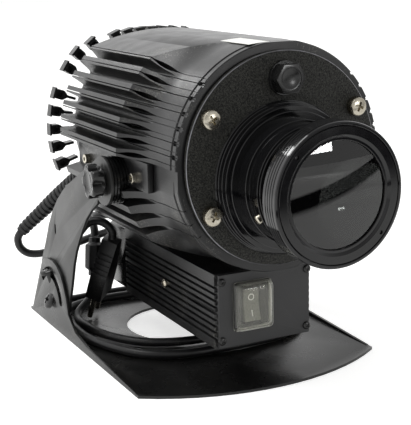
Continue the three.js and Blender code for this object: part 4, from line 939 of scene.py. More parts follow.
    def mains(self) -> None:
        """Builds the mains cord in its three stretches, with the connector, the plug and its pins."""
        connector = refined("inline_connector", "cord_connector", PVC, "yoke", 0.9, 20, 3, 50)
        plug = refined("plug_body", "mains_plug", PVC, "foot", 0.45, 30, 2)
        for number in (1, 2):
            refined(f"pin_{number}", f"plug_pin_{number}", NICKEL, "foot", 0.5, 40, 3)
        first = curve_points(self.drop, self.spacing)
        drop = self.cord("mains_drop", first, "", ["mains_cord_drop"])
        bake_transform(drop)
        self.relief("mains_gland", first, 7.4, 24, "head")
        flat = [(x, y, self.rest_height) for x, y in (*self.inner, *self.outer)]
        whole = curve_points([*self.rise, *flat, *self.arch], self.spacing)
        meeting = np.array(flat[0]) * MM
        split = int(np.argmin(np.linalg.norm(whole - meeting, axis=1)))
        down, rest = whole[: split + 1], whole[split:]
        rise = self.cord("mains_rise", down, "", ["mains_cord"])
        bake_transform(rise)
        main = self.cord("mains_lead", rest, "foot", ["mains_cord"])

    def build(self) -> None:
        """Builds all the cords."""
        self.lamp_lead()
        self.mains()


# Head


@dataclass
class Head:
    """The finned body with its rear ring, front cover, screws, vent plug, label and tilt brackets."""

    front: float = -82.0
    back: float = 89.0
    rear_back: float = 119.0
    tip_radius: float = 88.5
    blank_radius: float = 92.0
    waist: float = 76.0
    pad_half: float = 60.0
    pad_crown: float = 75.0
    pad_drop: float = 10.6
    lower_half: float = 62.0
    lower_drop: float = 13.0
    upper_fins: tuple[float, ...] = (47, 39.2, 30.5, 23, 15.6, 9, 2.4)
    lower_fins: tuple[float, ...] = (-17, -25, -33, -41)
    stub_angles: tuple[float, ...] = (
        -82, -74, -66, -52, -42.5, -33.5, -18, -8.5, 0.5, 10, 19, 33.5, 42.5, 52, 66, 74, 82,
    )
    groove_aside: float = -0.95
    slot: tuple[Pair, ...] = (
        (92.0, 3.75), (88.0, 3.35), (82.0, 2.5), (78.6, 1.9), (77.5, 1.4), (77.0, 0.8), (76.8, 0.3),
        (73.4, 0.3),
    )
    groove: tuple[Pair, ...] = (
        (92, 0.36), (87.2, 0.36), (85.6, 0.8), (83.4, 1.45), (81.0, 1.65), (79.0, 1.3), (77.6, 0.6),
        (76.8, 0.22), (75.0, 0.22),
    )
    pocket: tuple[float, float, float] = (74.0, -1.2, -21.3)
    bracket_screw_y: tuple[float, float] = (-26, 58.5)
    bracket_screw_fall: float = 14
    vent_rise: float = 52.6
    screw_places: tuple[Pair, ...] = ((54, 30.5), (-54, 30.5), (54, -30.5), (-54, -30.5))
    cover_front: float = -86.0
    cover_radius: float = 70
    lens_hole: float = 41
    vent_hole: float = 6.3
    vent_flats: float = 18.4
    cover_screw_hole: float = 2.8
    thumb_radius: float = 5.85
    knurls: int = 44
    front_bore: float = 55
    rear_bore: float = 52
    disc_pocket: float = 17.1
    stud_hole: float = 4.3
    bracket_screw_hole: float = 2.2
    bracket_face: float = 78.3
    core_radius: float = 66
    stub_length: float = 7.5
    label_left: float = -20.5
    label_width: float = 15

    def ray(self, angle: float, radius: float, aside: float) -> Pair:
        """Returns a point out along a ray about the head axis, moved sideways."""
        c, s = math.cos(math.radians(angle)), math.sin(math.radians(angle))
        return radius * c - aside * s, HEAD_AXIS + radius * s + aside * c

    def pad(self, half: float, drop: float, sign: int) -> list[Pair]:
        """Returns the crowned top or bottom of the outline."""
        radius = arc_radius(half, drop)
        points = []
        steps = 24
        for i in range(steps + 1):
            across = half * (1 - 2 * i / steps)
            fall = radius - math.sqrt(radius * radius - across * across)
            points.append((sign * across, HEAD_AXIS + sign * (self.pad_crown - fall)))
        return points

    def gap(self, angle: float, spread: float) -> list[Pair]:
        """Returns the points of a slot between two fins, from its upper lip down, spread by a share."""
        rows = [(r, w * spread) for r, w in self.slot]
        return [self.ray(angle, r, w) for r, w in rows] + [self.ray(angle, r, -w) for r, w in rows[::-1]]

    def flank(self) -> list[Pair]:
        """Returns the right side of the outline, from the top pad down."""
        points: list[Pair] = []
        fins = self.upper_fins
        for i, angle in enumerate(fins):
            points += [self.ray(angle, r, self.groove_aside + w) for r, w in self.groove]
            points += [self.ray(angle, r, self.groove_aside - w) for r, w in self.groove[::-1]]
            if i + 1 < len(fins):
                pitch = angle - fins[i + 1]
                points += self.gap((angle + fins[i + 1]) / 2, (pitch / 7.6) ** 0.8)
        points.append(self.ray(fins[-1], self.blank_radius, -2.9))
        floor, high, low = self.pocket
        points += [(floor, HEAD_AXIS + high), (floor, HEAD_AXIS + low)]
        points.append(self.ray(self.lower_fins[0], self.blank_radius, 2.4))
        for a, b in zip(self.lower_fins, self.lower_fins[1:], strict=False):
            points += self.gap((a + b) / 2, 1.0)
        return points

    def outline(self) -> list[Pair]:
        """Returns the whole outline across the head axis."""
        right = self.flank()
        left = [(-x, z) for x, z in right]
        top = self.pad(self.pad_half, self.pad_drop, 1)
        bottom = self.pad(self.lower_half, self.lower_drop, -1)
        return [*top, *left, *bottom, *right[::-1]]

    def envelope(self) -> Mesh:
        """Returns the turned shape that the drawn body is trimmed to."""
        ring_back = self.front + 5
        sweep = ring_back + 20
        rise, run = self.tip_radius - self.waist, 38.5
        bend = arc_radius(run, rise)
        profile = [(0.0, self.front), (74.9, self.front), (75.5, self.front + 0.6), (75.5, ring_back)]
        profile += [(74.4, ring_back + 0.25), (74.4, ring_back + 0.9), (self.waist, ring_back + 1.6)]
        reach = math.asin(run / bend)
        steps = 12
        for i in range(steps + 1):
            a = reach * i / steps
            profile.append((self.waist + bend * (1 - math.cos(a)), sweep + bend * math.sin(a)))
        profile += [(self.tip_radius, self.back - 0.5), (self.tip_radius - 0.5, self.back), (0.0, self.back)]
        return turned(profile, Axis.Y, (0, HEAD_AXIS), 180)

    def body(self) -> None:
        """Builds the finned body: drawn, turned down at its front, then bored and drilled."""
        blank = drawn(self.outline(), Axis.Y, self.front - 5, self.back + 5)
        shape = worked(blank, [self.envelope()], "INTERSECT")
        centre = (0, HEAD_AXIS)
        tools = [rod(self.front_bore, -90, -26, Axis.Y, centre, 96)]
        tools.append(rod(self.rear_bore, -31, 64, Axis.Y, centre, 96))
        for side in (1, -1):
            low, high = side * 65.8, side * 90
            floor = side * self.pocket[0]
            tools.append(rod(self.disc_pocket, floor, side * 100, Axis.X, (0, TILT_AXIS), 64))
            tools.append(rod(self.stud_hole, low, high, Axis.X, (0, TILT_AXIS), 32))
            for y in self.bracket_screw_y:
                at = (y, HEAD_AXIS - self.bracket_screw_fall)
                tools.append(rod(self.bracket_screw_hole, low, high, Axis.X, at, 20))
        tools += self.screw_holes(-71.5)
        notches = [(a + b) / 2 for a, b in zip(self.upper_fins, self.upper_fins[1:], strict=False)]
        for angle in [*notches, *(180 - a for a in notches)]:
            corners = [self.ray(angle, r, w) for r, w in ((74.2, -1.5), (80, -1.5), (80, 1.5), (74.2, 1.5))]
            tools.append(drawn(corners, Axis.Y, self.front - 2, self.front + 5.1))
        shape = worked(shape, tools)
        dress("finned_body", eased(shape, 0.0), ANODISED, "head", ["heatsink_body"], 26)

    def screw_holes(self, end: float) -> list[Mesh]:
        """Returns the tools of the four cover screws' holes, up to an end behind the cover."""
        hole = self.cover_screw_hole
        return [rod(hole, -90, end, Axis.Y, (x, HEAD_AXIS + z), 24) for x, z in self.screw_places]

    def stub_reach(self, angle: float) -> float:
        """Returns how far out a rear stub goes at an angle, within the body and the pads' arcs."""
        rise = math.sin(math.radians(angle))
        half, drop = (self.pad_half, self.pad_drop) if rise > 0 else (self.lower_half, self.lower_drop)
        radius = arc_radius(half, drop)
        fall = abs(rise) * (radius - self.pad_crown)
        arc = math.sqrt(fall * fall + self.pad_crown * (2 * radius - self.pad_crown)) - fall
        return min(self.tip_radius, arc)

    def rear_ring(self) -> None:
        """Builds the rear ring: a core with headed, hollow stubs laid round it by Geometry Nodes."""
        angles = [90.0, -90.0, *self.stub_angles, *(180 - a for a in self.stub_angles)]
        half = [(-18.0, 1.0), (-11.0, 1.0), (-8.2, 3.3), (-7.0, 3.7)]
        half += [(-2.6, 3.7), (-1.6, 3.3), (-1.4, 4.4), (0.0, 4.4)]
        outline = softened([*half, *((r, -w) for r, w in half[::-1])], 0.35, 2)
        stub = drawn(outline, Axis.Y, self.rear_back - self.stub_length, self.rear_back)
        hollow = drawn(circle(2.35, (-5.0, 0), 20), Axis.Y, self.back, self.rear_back - 1.2)
        part = eased(worked(stub, [hollow]), 0.0)
        turns = [(0.0, -math.radians(a), 0.0) for a in angles]
        places = []
        for a in angles:
            x, z = self.ray(a, self.stub_reach(a), 0.0)
            places.append(metres(x, 0.0, z))
        stubs = Copies(Layout.PLACES).lay(part, ANODISED, places, turns)
        rim = [(self.core_radius, self.back), (self.core_radius, self.rear_back)]
        rim = softened([*rim, (0, self.rear_back), (0, self.back)], 0.8)
        core = turned(rim, Axis.Y, (0, HEAD_AXIS), 120)
        whole = joined([core, stubs])
        dress("rear_ring", whole, ANODISED, "head", ["rear_heatsink"], 26)

    def cover(self) -> None:
        """Builds the round front cover in its textured coat."""
        front, back, radius = self.cover_front, self.cover_front + 3, self.cover_radius
        profile = [(0, front), (radius - 0.5, front), (radius, front + 0.5), (radius, back), (0, back)]
        disc = turned(profile, Axis.Y, (0, HEAD_AXIS), 160)
        tools = [rod(self.lens_hole, -90, -80, Axis.Y, (0, LENS_AXIS), 96)]
        tools.append(rod(self.vent_hole, -90, -80, Axis.Y, (0, HEAD_AXIS + self.vent_rise), 32))
        tools += self.screw_holes(-80)
        # The cover's coat carries its sparkle as painted highlights: pale specks in its colour
        made = dress("front_plate", worked(disc, tools), POWDER, "head", ["front_cover"], 24)
        # The rim's chamfer faces get the pale metal: a painted highlight line round the cover
        made.data.materials.append(EDGE.build())
        for face in made.data.polygons:
            across = math.hypot(face.center.x, face.center.z - HEAD_AXIS * MM)
            if across > (radius - 1) * MM and -0.9 < face.normal.y < -0.5:
                face.material_index = 1

    def cover_screws(self) -> None:
        """Builds the four knurled screws of the cover."""
        core = cross_head(self.thumb_radius, 6.5, 1.3, 2.5, 14)
        rib = drawn([(-0.5, -0.34), (0.45, 0.0), (-0.5, 0.34)], Axis.Z, 0.35, 5.0)
        knurl = Copies(Layout.RING).lay(rib, NICKEL, Count=self.knurls, Radius=self.thumb_radius * MM)
        knurl.transform(Matrix.Rotation(math.radians(90), 4, "X"))
        screw = joined([core, knurl])
        spins = (0.35, 1.1, 0.8, 2.0)
        places = [metres(x, self.cover_front, HEAD_AXIS + z) for x, z in self.screw_places]
        turns = [(0.0, spin, 0.0) for spin in spins]
        nodes = [f"cover_screw_{i}" for i in (1, 2, 3, 4)]
        fastened("cover_thumb_screws", screw, NICKEL, "head", nodes, places, turns)

    def vent(self) -> None:
        """Builds the hexagonal vent plug with its dished face."""
        height = HEAD_AXIS + self.vent_rise
        hexagon = circle(self.vent_flats / 2 / math.cos(math.radians(30)), (0, height), 6)
        cap = eased(drawn(hexagon, Axis.Y, -95.8, -87), 0.5, 30, 3)
        profile = [(0, -95.0), (5.6, -95.0), (6.2, -95.3), (7.4, -95.3), (7.4, -99), (0, -99)]
        dish = turned(profile, Axis.Y, (0, height), 48)
        chamfer = turned([(9.0, -97), (12.5, -97), (12.5, -93.4)], Axis.Y, (0, height), 64)
        hexed = worked(cap, [dish, chamfer])
        edge = [(6.0, -88.2), (11.0, -88.2), (11.2, -87.8), (11.2, -86), (6, -86)]
        flange = turned(edge, Axis.Y, (0, height), 48)
        stem = rod(6, -88, -83, Axis.Y, (0, height), 32)
        dress("vent_cap", joined([hexed, flange, stem]), NYLON, "head", ["vent_plug"], 30)

    def label(self) -> None:
        """Builds the blank label on the top pad."""
        radius = arc_radius(self.pad_half, self.pad_drop)
        steps = 8
        rings = []
        for i in range(steps + 1):
            x = self.label_left + self.label_width * i / steps
            z = HEAD_AXIS + self.pad_crown - (radius - math.sqrt(radius**2 - x * x))
            low, high = z - 0.02, z + 0.12
            rings.append([metres(x, y, h) for y, h in ((-78, low), (-78, high), (-40, high), (-40, low))])
        dress("blank_label", lofted(rings), PAPER, "head")

    def brackets(self) -> None:
        """Builds the two tilt brackets and their socket screws."""
        screw = [(0, -3.6), (3.1, -3.6), (3.4, -3.3), (3.4, 0), (1.8, 0), (1.8, 10), (0, 10)]
        socket = drawn(circle(1.7, (0, 0), 6), Axis.Y, -6, -1.6)
        part = worked(turned(screw, Axis.Y, (0, 0), 40), [socket])
        places, turns, nodes = [], [], []
        for name, side in SIDES:
            refined(f"bracket_{name}", f"tilt_bracket_{name}", ANODISED, "head", 0.35)
            for where, y in zip(("front", "rear"), self.bracket_screw_y, strict=True):
                places.append(metres(side * self.bracket_face, y, HEAD_AXIS - self.bracket_screw_fall))
                turns.append((0.0, 0.0, side * math.pi / 2))
                nodes.append(f"bracket_screw_{where}_{name}")
        fastened("bracket_screws", part, NICKEL, "head", nodes, places, turns)

    def inside(self) -> None:
        """Dresses the gasket and the optics behind the cover."""
        dressings = {
            "cover_gasket": NEOPRENE,
            "gobo_holder": TURNED,
            "gobo_disc": STEEL,
            "condenser_holder": TURNED,
            "condenser_lens": GLASS,
            "led_module": PHOSPHOR,
            "heat_spreader": ALUMINIUM,
        }
        for node, finish in dressings.items():
            dress_node(node, finish)

    def build(self) -> None:
        """Builds the head."""
        self.body()
        self.rear_ring()
        self.cover()
        self.cover_screws()
        self.vent()
        self.label()
        self.brackets()
        self.inside()


# Lens barrel


@dataclass
class Barrel:
    """The lens collar, the sliding focusing tube with its head, the lenses and the lock screw."""

    head_front: float = -151.4
    head_back: float = -135.6
    head_radius: float = 45.0
    bore: float = 33.5
    nose_bore: float = 36.3
    lock_place: float = -116
    lock_angle: float = 205
    spanner_radius: float = 39.8
    spanner_angle: float = 41

    def part(
        self, name: str, node: str, body: str, profile: Sequence[Pair], sides: int, cuts: Sequence[Mesh] = ()
    ) -> None:
        """Turns a profile about the lens axis, cuts it, and finishes it in black anodised aluminium."""
        shape = turned(profile, Axis.Y, (0, LENS_AXIS), sides)
        whole = worked(shape, cuts) if cuts else shape
        dress(name, whole, TURNED, body, [node], 20)

    def ringed(self, radius: float, start: float, end: float, pitch: float, depth: float) -> list[Pair]:
        """Returns the points of a cylinder with fine V grooves, from start to end.

        Args:
            radius: the cylinder's radius.
            start: where it starts along the axis.
            end: where it ends.
            pitch: the distance between grooves.
            depth: their depth.

        Returns:
            [radius, place] points.
        """
        sign = 1 if end > start else -1
        count = max(1, int(abs(end - start) / pitch))
        points: list[Pair] = []
        for i in range(count):
            middle = start + sign * (i + 0.5) * abs(end - start) / count
            half = min(0.45, pitch * 0.3)
            near, far = middle - sign * half, middle + sign * half
            points += [(radius, near), (radius - depth, middle), (radius, far)]
        return points

    def collar(self) -> None:
        """Builds the collar: a stepped flange with turned grooves, and the nose that the tube slides in."""
        profile = [(self.nose_bore, -82), (40.7, -82), (40.7, -86), (50.1, -86), (50.4, -86.3)]
        steps = [(50.4, -87.6), (49.7, -89.7), (48.7, -92.4), (47.9, -96.0), (44.9, -98.0)]
        steps += [(40.4, -107.6), (39.1, -119.6), (38.0, -121.0)]
        for (radius, end), (after, _) in zip(steps, [*steps[1:], (self.nose_bore, 0.0)], strict=True):
            crest = min(0.35, (radius - after) / 2)
            profile += [(radius - 0.25, end + 1.0), (radius, end + 0.8), (radius, end + crest)]
            profile += [(radius - crest, end), (after - 0.2, end), (after - 0.2, end - 0.25)]
        profile = profile[:-2] + [(self.nose_bore, -121.0)]
        hole = rod(2.3, 30, 48, Axis.X, (0, 0), 32)
        hole.transform(self.lock_turn())
        self.part("collar_ring", "lens_collar", "head", profile, 160, [hole])

    def lock_turn(self) -> Matrix:
        """Returns the turn of the lock screw about the nose."""
        turn = Matrix.Rotation(-math.radians(self.lock_angle), 4, "Y")
        return Matrix.Translation(metres(0, self.lock_place, LENS_AXIS)) @ turn

    def lock_screw(self) -> None:
        """Builds the small screw that holds the focus."""
        screw = cross_head(3.0, 3.4, 0.8, 2.0, 2.0)
        screw.transform(Matrix.Rotation(math.radians(90), 4, "Z"))
        screw.transform(self.lock_turn() @ Matrix.Translation(metres(38.3, 0, 0)))
        dress("focus_screw", screw, NICKEL, "head", ["focus_lock_screw"], 30)

    def tube(self) -> None:
        """Builds the focusing tube and the grooved head that it ends in."""
        profile = [(self.bore, -142), (36, -142)]
        profile += self.ringed(36.0, -134.5, -121.6, 1.3, 0.28)
        profile += [(36, -84), (31, -84), (31, -85.5), (self.bore, -85.5)]
        self.part("focus_barrel", "focus_tube", "focus", profile, 160)
        front, back, radius = self.head_front, self.head_back, self.head_radius
        outer = [(42.6, front + 0.4), (43.0, front), (radius - 1.2, front)]
        outer += [(radius - 0.3, front + 0.5), (radius, front + 1.3)]
        for i in range(1, 5):
            place = front + 1.6 + i * 2.6
            outer += [(radius, place - 0.55), (radius - 0.95, place), (radius, place + 0.55)]
        outer += [(radius, back - 0.9), (radius - 0.9, back), (self.nose_bore, back)]
        outer += [(self.nose_bore, -142.3), (self.bore, -142.3), (self.bore, -144.3)]
        outer += [(39.3, -144.3), (39.3, -147.6), (42.6, -147.6)]
        self.part("lens_ring", "lens_head", "focus", outer, 180)

    def retainer(self) -> None:
        """Builds the ring that holds the front lens, with its coned mouth and two spanner holes."""
        profile = [(41.9, -151.0), (42.3, -150.6), (42.3, -147.7), (38.4, -147.7), (self.bore, -148.0)]
        profile += [(self.bore, -149.3), (33.8, -149.5), (35.2, -149.5), (35.4, -149.7), (36.5, -150.6)]
        profile.append((37.0, -151.0))
        holes = []
        for sign in (1, -1):
            angle = math.radians(self.spanner_angle)
            reach = sign * self.spanner_radius
            at = (reach * math.cos(angle), LENS_AXIS - reach * math.sin(angle))
            holes.append(turned([(0, -153), (1.3, -153), (1.3, -149.2), (0, -148.6)], Axis.Y, at, 24))
        self.part("retaining_ring", "lens_retainer", "focus", profile, 180, holes)

    def lens(self, name: str, node: str, radius: float, flat: float, edge: float, bulge: float) -> None:
        """Builds a flat backed lens, bulging towards the front.

        Args:
            name: the piece's name.
            node: the frame node that it stands for.
            radius: the lens' radius.
            flat: where its flat back lies.
            edge: the thickness at its edge.
            bulge: how far it bulges past that.
        """
        front = flat - edge
        curve = arc_radius(radius, bulge)
        profile = [(0.0, flat), (radius - 0.4, flat), (radius, flat - 0.4), (radius, front)]
        steps = 24
        for i in range(1, steps + 1):
            r = radius * (1 - i / steps)
            profile.append((r, front - bulge + curve - math.sqrt(curve**2 - r * r)))
        mesh = turned(profile, Axis.Y, (0, LENS_AXIS), 128)
        dress(name, mesh, GLASS, "focus", [node], 50)

    def build(self) -> None:
        """Builds the barrel."""
        self.collar()
        self.lock_screw()
        self.tube()
        self.retainer()
        self.lens("objective_lens", "front_lens", 39.0, -144.3, 3.0, 3.6)
        self.lens("field_lens", "rear_lens", 33.2, -85.5, 3.0, 5.0)


# Arms, knobs and foot


@dataclass
class Stand:
    """The bent foot, the two curved arms with their screws, the ribbed discs and the lobed knobs."""

    knob_radius: float = 12.4
    knob_flute: float = 4.18
    flute_power: float = 1.2
    lobes: int = 5
    stud_radius: float = 4
    collar_radius: float = 9
    collar_span: Pair = (91.7, 94.4)
    disc_radius: float = 16.5
    disc_hole: float = 4.3
    disc_span: Pair = (78.3, 89.7)
    disc_ribs: int = 5
    rib_height: float = 1.1

    def knob(self, name: str, side: int) -> None:
        """Builds a lobed knob with deep flutes, a dished face and its collar and stud."""
        rows = [(94.2, 0.9, 0.0), (94.6, 0.97, 0.5), (95.4, 1.0, 1.0), (100.6, 1.0, 1.0)]
        rows += [(101.6, 0.965, 0.85), (102.2, 0.88, 0.6), (102.2, 0.66, 0.25), (101.5, 0.55, 0.0)]
        count = 120
        angles = [2 * math.pi * j / count for j in range(count)]
        waves = [(0.5 - 0.5 * math.cos(self.lobes * a)) ** self.flute_power for a in angles]
        rings = []
        for x, size, flute in rows:
            radii = [(self.knob_radius - self.knob_flute * wave * flute) * size for wave in waves]
            turns = zip(angles, radii, strict=True)
            rings.append([metres(side * x, r * math.cos(a), TILT_AXIS + r * math.sin(a)) for a, r in turns])
        grip = lofted(rings)
        low, high = sorted(side * end for end in self.collar_span)
        wide = self.collar_radius
        neck = softened([(0, low), (wide, low), (wide, high), (0, high)], 0.4)
        collar = turned(neck, Axis.X, (0, TILT_AXIS), 48)
        stud = rod(self.stud_radius, side * 66.3, side * 94.0, Axis.X, (0, TILT_AXIS), 32)
        knob = joined([grip, collar, stud])
        dress(f"lobed_knob_{name}", knob, NYLON, f"knob_{name}", [f"knob_{name}"], 38)

    def disc(self, name: str, side: int) -> None:
        """Builds the ribbed disc between a bracket and its arm."""
        inner, outer = self.disc_span
        full, root = self.disc_radius, self.disc_radius - self.rib_height
        edge: list[Pair] = [(self.disc_hole, inner), (full - 0.4, inner)]
        pitch = (outer - inner) / self.disc_ribs
        for i in range(self.disc_ribs):
            low = inner + i * pitch
            edge += [(full, low + 0.35), (full, low + pitch - 0.75)]
            edge += [(root, low + pitch - 0.45), (root, low + pitch - 0.05)]
        edge += [(full - 0.6, outer), (self.disc_hole, outer)]
        profile = [(r, side * x) for r, x in edge]
        mesh = turned(profile, Axis.X, (0, TILT_AXIS), 80)
        dress(f"ribbed_disc_{name}", mesh, NYLON, "head", [f"friction_disc_{name}"], 24)

    def screws(self) -> None:
        """Builds the four domed screws that hold the arms to the foot."""
        part = cross_head(7.0, 4.0, 2.6, 3.0, 8.0)
        places, turns, nodes = [], [], []
        spins = iter((0.3, 0.9, 0.5, 1.3))
        for name, side in SIDES:
            for where, y, z in (("pivot", 114.4, 21.3), ("slot", 116.17, 44.23)):
                places.append(metres(side * 94.0, y, z))
                turns.append((side * next(spins), 0.0, side * math.pi / 2))
                nodes.append(f"arm_{where}_screw_{name}")
        fastened("arm_screws", part, OXIDE, "yoke", nodes, places, turns)

    def build(self) -> None:
        """Builds the stand."""
        refined("foot_plate", "base_plate", FOOT, "foot", 0.5, 40, 2, 40)
        for name, side in SIDES:
            refined(f"curved_arm_{name}", f"arm_{name}", SATIN, "yoke", 0.4, 40, 2, 30)
            self.knob(name, side)
            self.disc(name, side)
        self.screws()


# Power supply


@dataclass
class Supply:
    """The finned case under the head with its plate, cap and screws, and the covered rocker switch."""

    front: float = -60.7
    half: float = 37.5
    low: float = 25.5
    high: float = 77.5
    switch_across: float = -12.5
    switch_height: float = 53.5
    rocker_pivot: float = -58.1
    rocker_face: float = 5.0
    rocker_slope: float = 8.0
    mark_rise: float = 5.6
    screw_hole: float = 1.8
    screw_places: tuple[Pair, ...] = ((33.4, 72.3), (33.4, 31), (-33.4, 72.3), (-33.4, 31))

    def case(self) -> None:
        """Builds the case, its front plate, rear cap and rail."""
        refined("supply_case", "driver_case", ANODISED, "head", 0.18, 40, 1)
        middle = (self.low + self.high) / 2
        outline = rectangle(self.half - 2.0, (self.high - self.low) / 2 - 0.3, 0.6, (0, middle), 3)
        plate = eased(drawn(outline, Axis.Y, self.front, self.front + 3), 0.35, 40, 2)
        window = rectangle(9.9, 13.9, 0.5, (self.switch_across, self.switch_height))
        tools = [drawn(window, Axis.Y, -65, -55)]
        tools += [rod(self.screw_hole, -65, -55, Axis.Y, place, 24) for place in self.screw_places]
        dress("supply_front", worked(plate, tools), BLASTED, "head", ["driver_front_plate"])
        refined("supply_rear", "driver_rear_cap", NYLON, "head", 0.5, 40, 2)
        refined("supply_rail", "case_rail", ANODISED, "head", 0.4)
        dress_node("driver_board", BOARD)

    def screws(self) -> None:
        """Builds the plate's four screws and the ground screw."""
        part = cross_head(2.9, 1.6, 1.2, 1.5, 10)
        places = [metres(x, self.front, z) for x, z in self.screw_places]
        spins = (0.2, 0.9, 1.3, 0.5)
        turns = [(0.0, spin, 0.0) for spin in spins]
        nodes = [f"plate_screw_{i}" for i in (1, 2, 3, 4)]
        fastened("plate_screws", part, OXIDE, "head", nodes, places, turns)
        ground = cross_head(3.3, 2.0, 1.4, 1.6, 7.2)
        ground.transform(Matrix.Rotation(-math.pi / 2, 4, "Z"))
        ground.transform(Matrix.Translation(metres(-self.half, 20.4, 51.4)))
        dress("earth_screw", ground, NICKEL, "head", ["ground_screw"], 30)

    def cover(self) -> Mesh:
        """Returns the clear cover of the switch: a rounded shell with a flange, from its inside out."""
        at = (self.switch_across + 2.2, self.switch_height)
        rows = [(-66.9, 8.6, 11.2), (-66.7, 11.2, 13.8), (-65.9, 12.1, 14.7), (-62.7, 12.8, 15.4)]
        rows += [(-60.7, 12.9, 15.5), (-60.7, 14.6, 17.2), (-62.0, 14.6, 17.2), (-62.4, 14.2, 16.8)]
        rows += [(-66.3, 13.4, 16.0), (-67.4, 12.9, 15.5), (-68.1, 11.9, 14.5), (-68.1, 9.0, 11.6)]
        return lofted([[metres(x, y, z) for x, z in rectangle(u, v, 3.0, at)] for y, u, v in rows])

    def switch(self) -> None:
        """Builds the switch: frame, rocker with its marks, and clear cover."""
        refined("switch_body", "switch_frame", NYLON, "head", 0.4)
        refined("rocker_key", "rocker", ROCKER, "rocker", 0.5, 30, 3)
        dress("switch_cover", self.cover(), SILICONE, "head", ["switch_boot"], 50)
        self.marks()

    def marks(self) -> None:
        """Builds the ring and the bar printed on the rocker's two halves."""
        slope, middle = math.radians(self.rocker_slope), self.mark_rise
        ring = turned([(1.75, -0.12), (2.35, -0.12), (2.35, 0.1), (1.75, 0.1)], Axis.Y, (0, 0), 40)
        bar = drawn(rectangle(0.32, 2.1, 0.1, (0, 0), 2), Axis.Y, -0.12, 0.1)
        key = Matrix.Translation(metres(self.switch_across, self.rocker_pivot, self.switch_height))
        for mark, sign in ((ring, 1), (bar, -1)):
            lean = Matrix.Rotation(sign * slope, 4, "X")
            out = Matrix.Translation(metres(0, -self.rocker_face - middle * math.tan(slope), sign * middle))
            mark.transform(key @ Matrix.Rotation(-slope, 4, "X") @ out @ lean)
        dress("rocker_marks", joined([ring, bar]), INK, "rocker")

    def build(self) -> None:
        """Builds the supply."""
        self.case()
        self.screws()
        self.switch()


# Studio


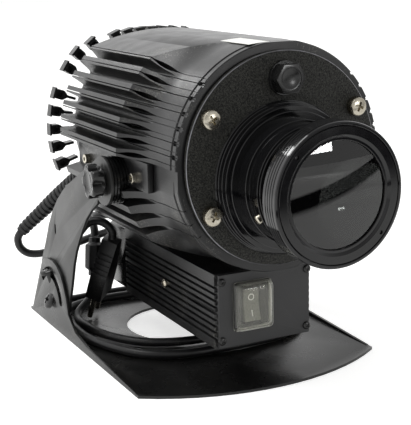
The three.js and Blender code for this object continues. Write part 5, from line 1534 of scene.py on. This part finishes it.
@dataclass
class Studio:
    """The pale floor, the soft lamps, the white surroundings and the camera."""

    camera_place: Place = (-0.3622, -0.6881, 0.2873)
    azimuth: float = -26.87
    elevation: float = 13.24
    roll: float = -1.09
    focal_px: float = 1107.6
    image_width: int = 411
    sensor: float = 36.0
    front_level: float = 0.62
    back_level: float = 1.35
    roof_share: float = 0.45
    floor_front: float = 0.3
    floor_back: float = 0.7
    floor_white: float = 0.62
    floor_span: float = 6.0

    def camera(self) -> None:
        """Makes the camera at the photograph's angle."""
        a, e, r = (math.radians(v) for v in (self.azimuth, self.elevation, self.roll))
        back = Vector((math.sin(a) * math.cos(e), -math.cos(a) * math.cos(e), math.sin(e)))
        right = Vector((math.cos(a), math.sin(a), 0.0))
        up = back.cross(right)
        across = math.cos(r) * right + math.sin(r) * up
        above = -math.sin(r) * right + math.cos(r) * up
        data = bpy.data.cameras.new("camera")
        data.sensor_fit = "HORIZONTAL"
        data.sensor_width = self.sensor
        data.lens = self.focal_px / self.image_width * self.sensor
        data.clip_start, data.clip_end = 0.01, 50.0
        made = bpy.data.objects.new("camera", data)
        turn = Matrix((across, above, back)).transposed().to_4x4()
        made.matrix_world = Matrix.Translation(self.camera_place) @ turn
        bpy.context.scene.collection.objects.link(made)
        bpy.context.scene.camera = made

    def toward(self, tree: Tree, direction: Socket, facing: Place) -> Socket:
        """Adds the dot product of a direction with another."""
        made = add(tree, "ShaderNodeVectorMath", {0: direction, 1: facing}, operation="DOT_PRODUCT")
        return made.outputs["Value"]

    def surroundings(self) -> None:
        """Sets the world: white where it's seen, else a room that is brightest behind and dims overhead."""
        world = bpy.data.worlds.new("studio")
        tree, aim = opened(world, "Generated")
        behind = self.toward(tree, aim, (-0.25, 0.92, 0.3))
        room = ranged(tree, behind, -0.5, 0.7, self.front_level, self.back_level)
        above = self.toward(tree, aim, (0.0, 0.0, 1.0))
        level = maths(tree, "MULTIPLY", room, ranged(tree, above, 0.45, 0.95, 1.0, self.roof_share))
        camera = add(tree, "ShaderNodeLightPath").outputs["Is Camera Ray"]
        strength = add(tree, "ShaderNodeMix", {0: camera, 2: level, 3: 1.0}, data_type="FLOAT")
        light = add(tree, "ShaderNodeBackground", {"Color": (1, 1, 1, 1), "Strength": strength.outputs[0]})
        add(tree, "ShaderNodeOutputWorld", {0: light.outputs[0]})
        bpy.context.scene.world = world

    def floor(self) -> None:
        """Makes the floor: overexposed white paper, with a dark strip of room seen only in reflections."""
        span = self.floor_span
        mesh = bpy.data.meshes.new("floor")
        corners = [(-span, -span, 0), (span, -span, 0), (span, span, 0), (-span, span, 0)]
        mesh.from_pydata(corners, [], [(0, 1, 2, 3)])
        material = bpy.data.materials.new("white_paper_sweep")
        tree, place = opened(material, "Object")
        camera = add(tree, "ShaderNodeLightPath").outputs["Is Camera Ray"]
        edge = ranged(tree, self.toward(tree, place, (0.425, 0.905, 0.0)), -0.5, -0.44)
        far = ranged(tree, self.toward(tree, place, (0.571, 0.821, 0.0)), -0.62, -0.57)
        paper = maths(tree, "MAXIMUM", edge, maths(tree, "SUBTRACT", 1.0, far))
        seen = maths(tree, "MAXIMUM", paper, camera)
        white = mixed(tree, noise(tree, place, 3.0, 2.0), linear("#e6e6e4"), linear("#e2e2e1"))
        diffuse = add(tree, "ShaderNodeBsdfDiffuse", {0: mixed(tree, seen, linear("#2a2a2c"), white)})
        depth = self.toward(tree, place, (-0.4, 0.92, 0.0))
        lit = ranged(tree, depth, -0.2, 0.7, self.floor_front, self.floor_back)
        share = maths(tree, "MULTIPLY", lit, paper)
        glow = add(tree, "ShaderNodeMix", {0: camera, 2: share, 3: self.floor_white}, data_type="FLOAT")
        lift = add(tree, "ShaderNodeEmission", {"Color": (1, 1, 1, 1), "Strength": glow.outputs[0]})
        both = add(tree, "ShaderNodeAddShader", {0: diffuse.outputs[0], 1: lift.outputs[0]})
        add(tree, "ShaderNodeOutputMaterial", {0: both.outputs[0]})
        mesh.materials.append(material)
        piece("floor", mesh)

    def lamp(self, name: str, place: Place, aim: Place, size: Pair, power: float) -> None:
        """Makes a soft lamp at a place that faces a point, of a size in metres and a power in watts."""
        data = bpy.data.lights.new(name, "AREA")
        data.shape = "RECTANGLE"
        data.size, data.size_y = size
        data.energy = power
        made = bpy.data.objects.new(name, data)
        turn = (Vector(aim) - Vector(place)).to_track_quat("-Z", "Y")
        made.matrix_world = Matrix.Translation(place) @ turn.to_matrix().to_4x4()
        bpy.context.scene.collection.objects.link(made)

    def build(self) -> None:
        """Builds the studio."""
        self.camera()
        self.surroundings()
        self.floor()
        self.lamp("rear_softbox", (-0.37, 1.12, 0.9), (0, 0.0, 0.15), (0.2, 0.2), 1.4)
        self.lamp("top_softbox", (-0.5, 0.2, 1.2), (0, 0.0, 0.15), (0.6, 0.6), 6.0)
        self.lamp("front_window", (0.86, -1.95, 0.325), (0, -0.15, 0.17), (0.34, 0.13), 3.0)
        bpy.context.scene.view_settings.view_transform = "Standard"


def main() -> None:
    """Builds the studio and every sub-assembly."""
    logging.basicConfig(level=logging.INFO, format="%(message)s")
    for part in (Studio(), Cords(), Head(), Barrel(), Stand(), Supply()):
        log.info("building %s", type(part).__name__)
        part.build()
    bpy.context.view_layer.update()


if __name__ == "__main__":
    main()
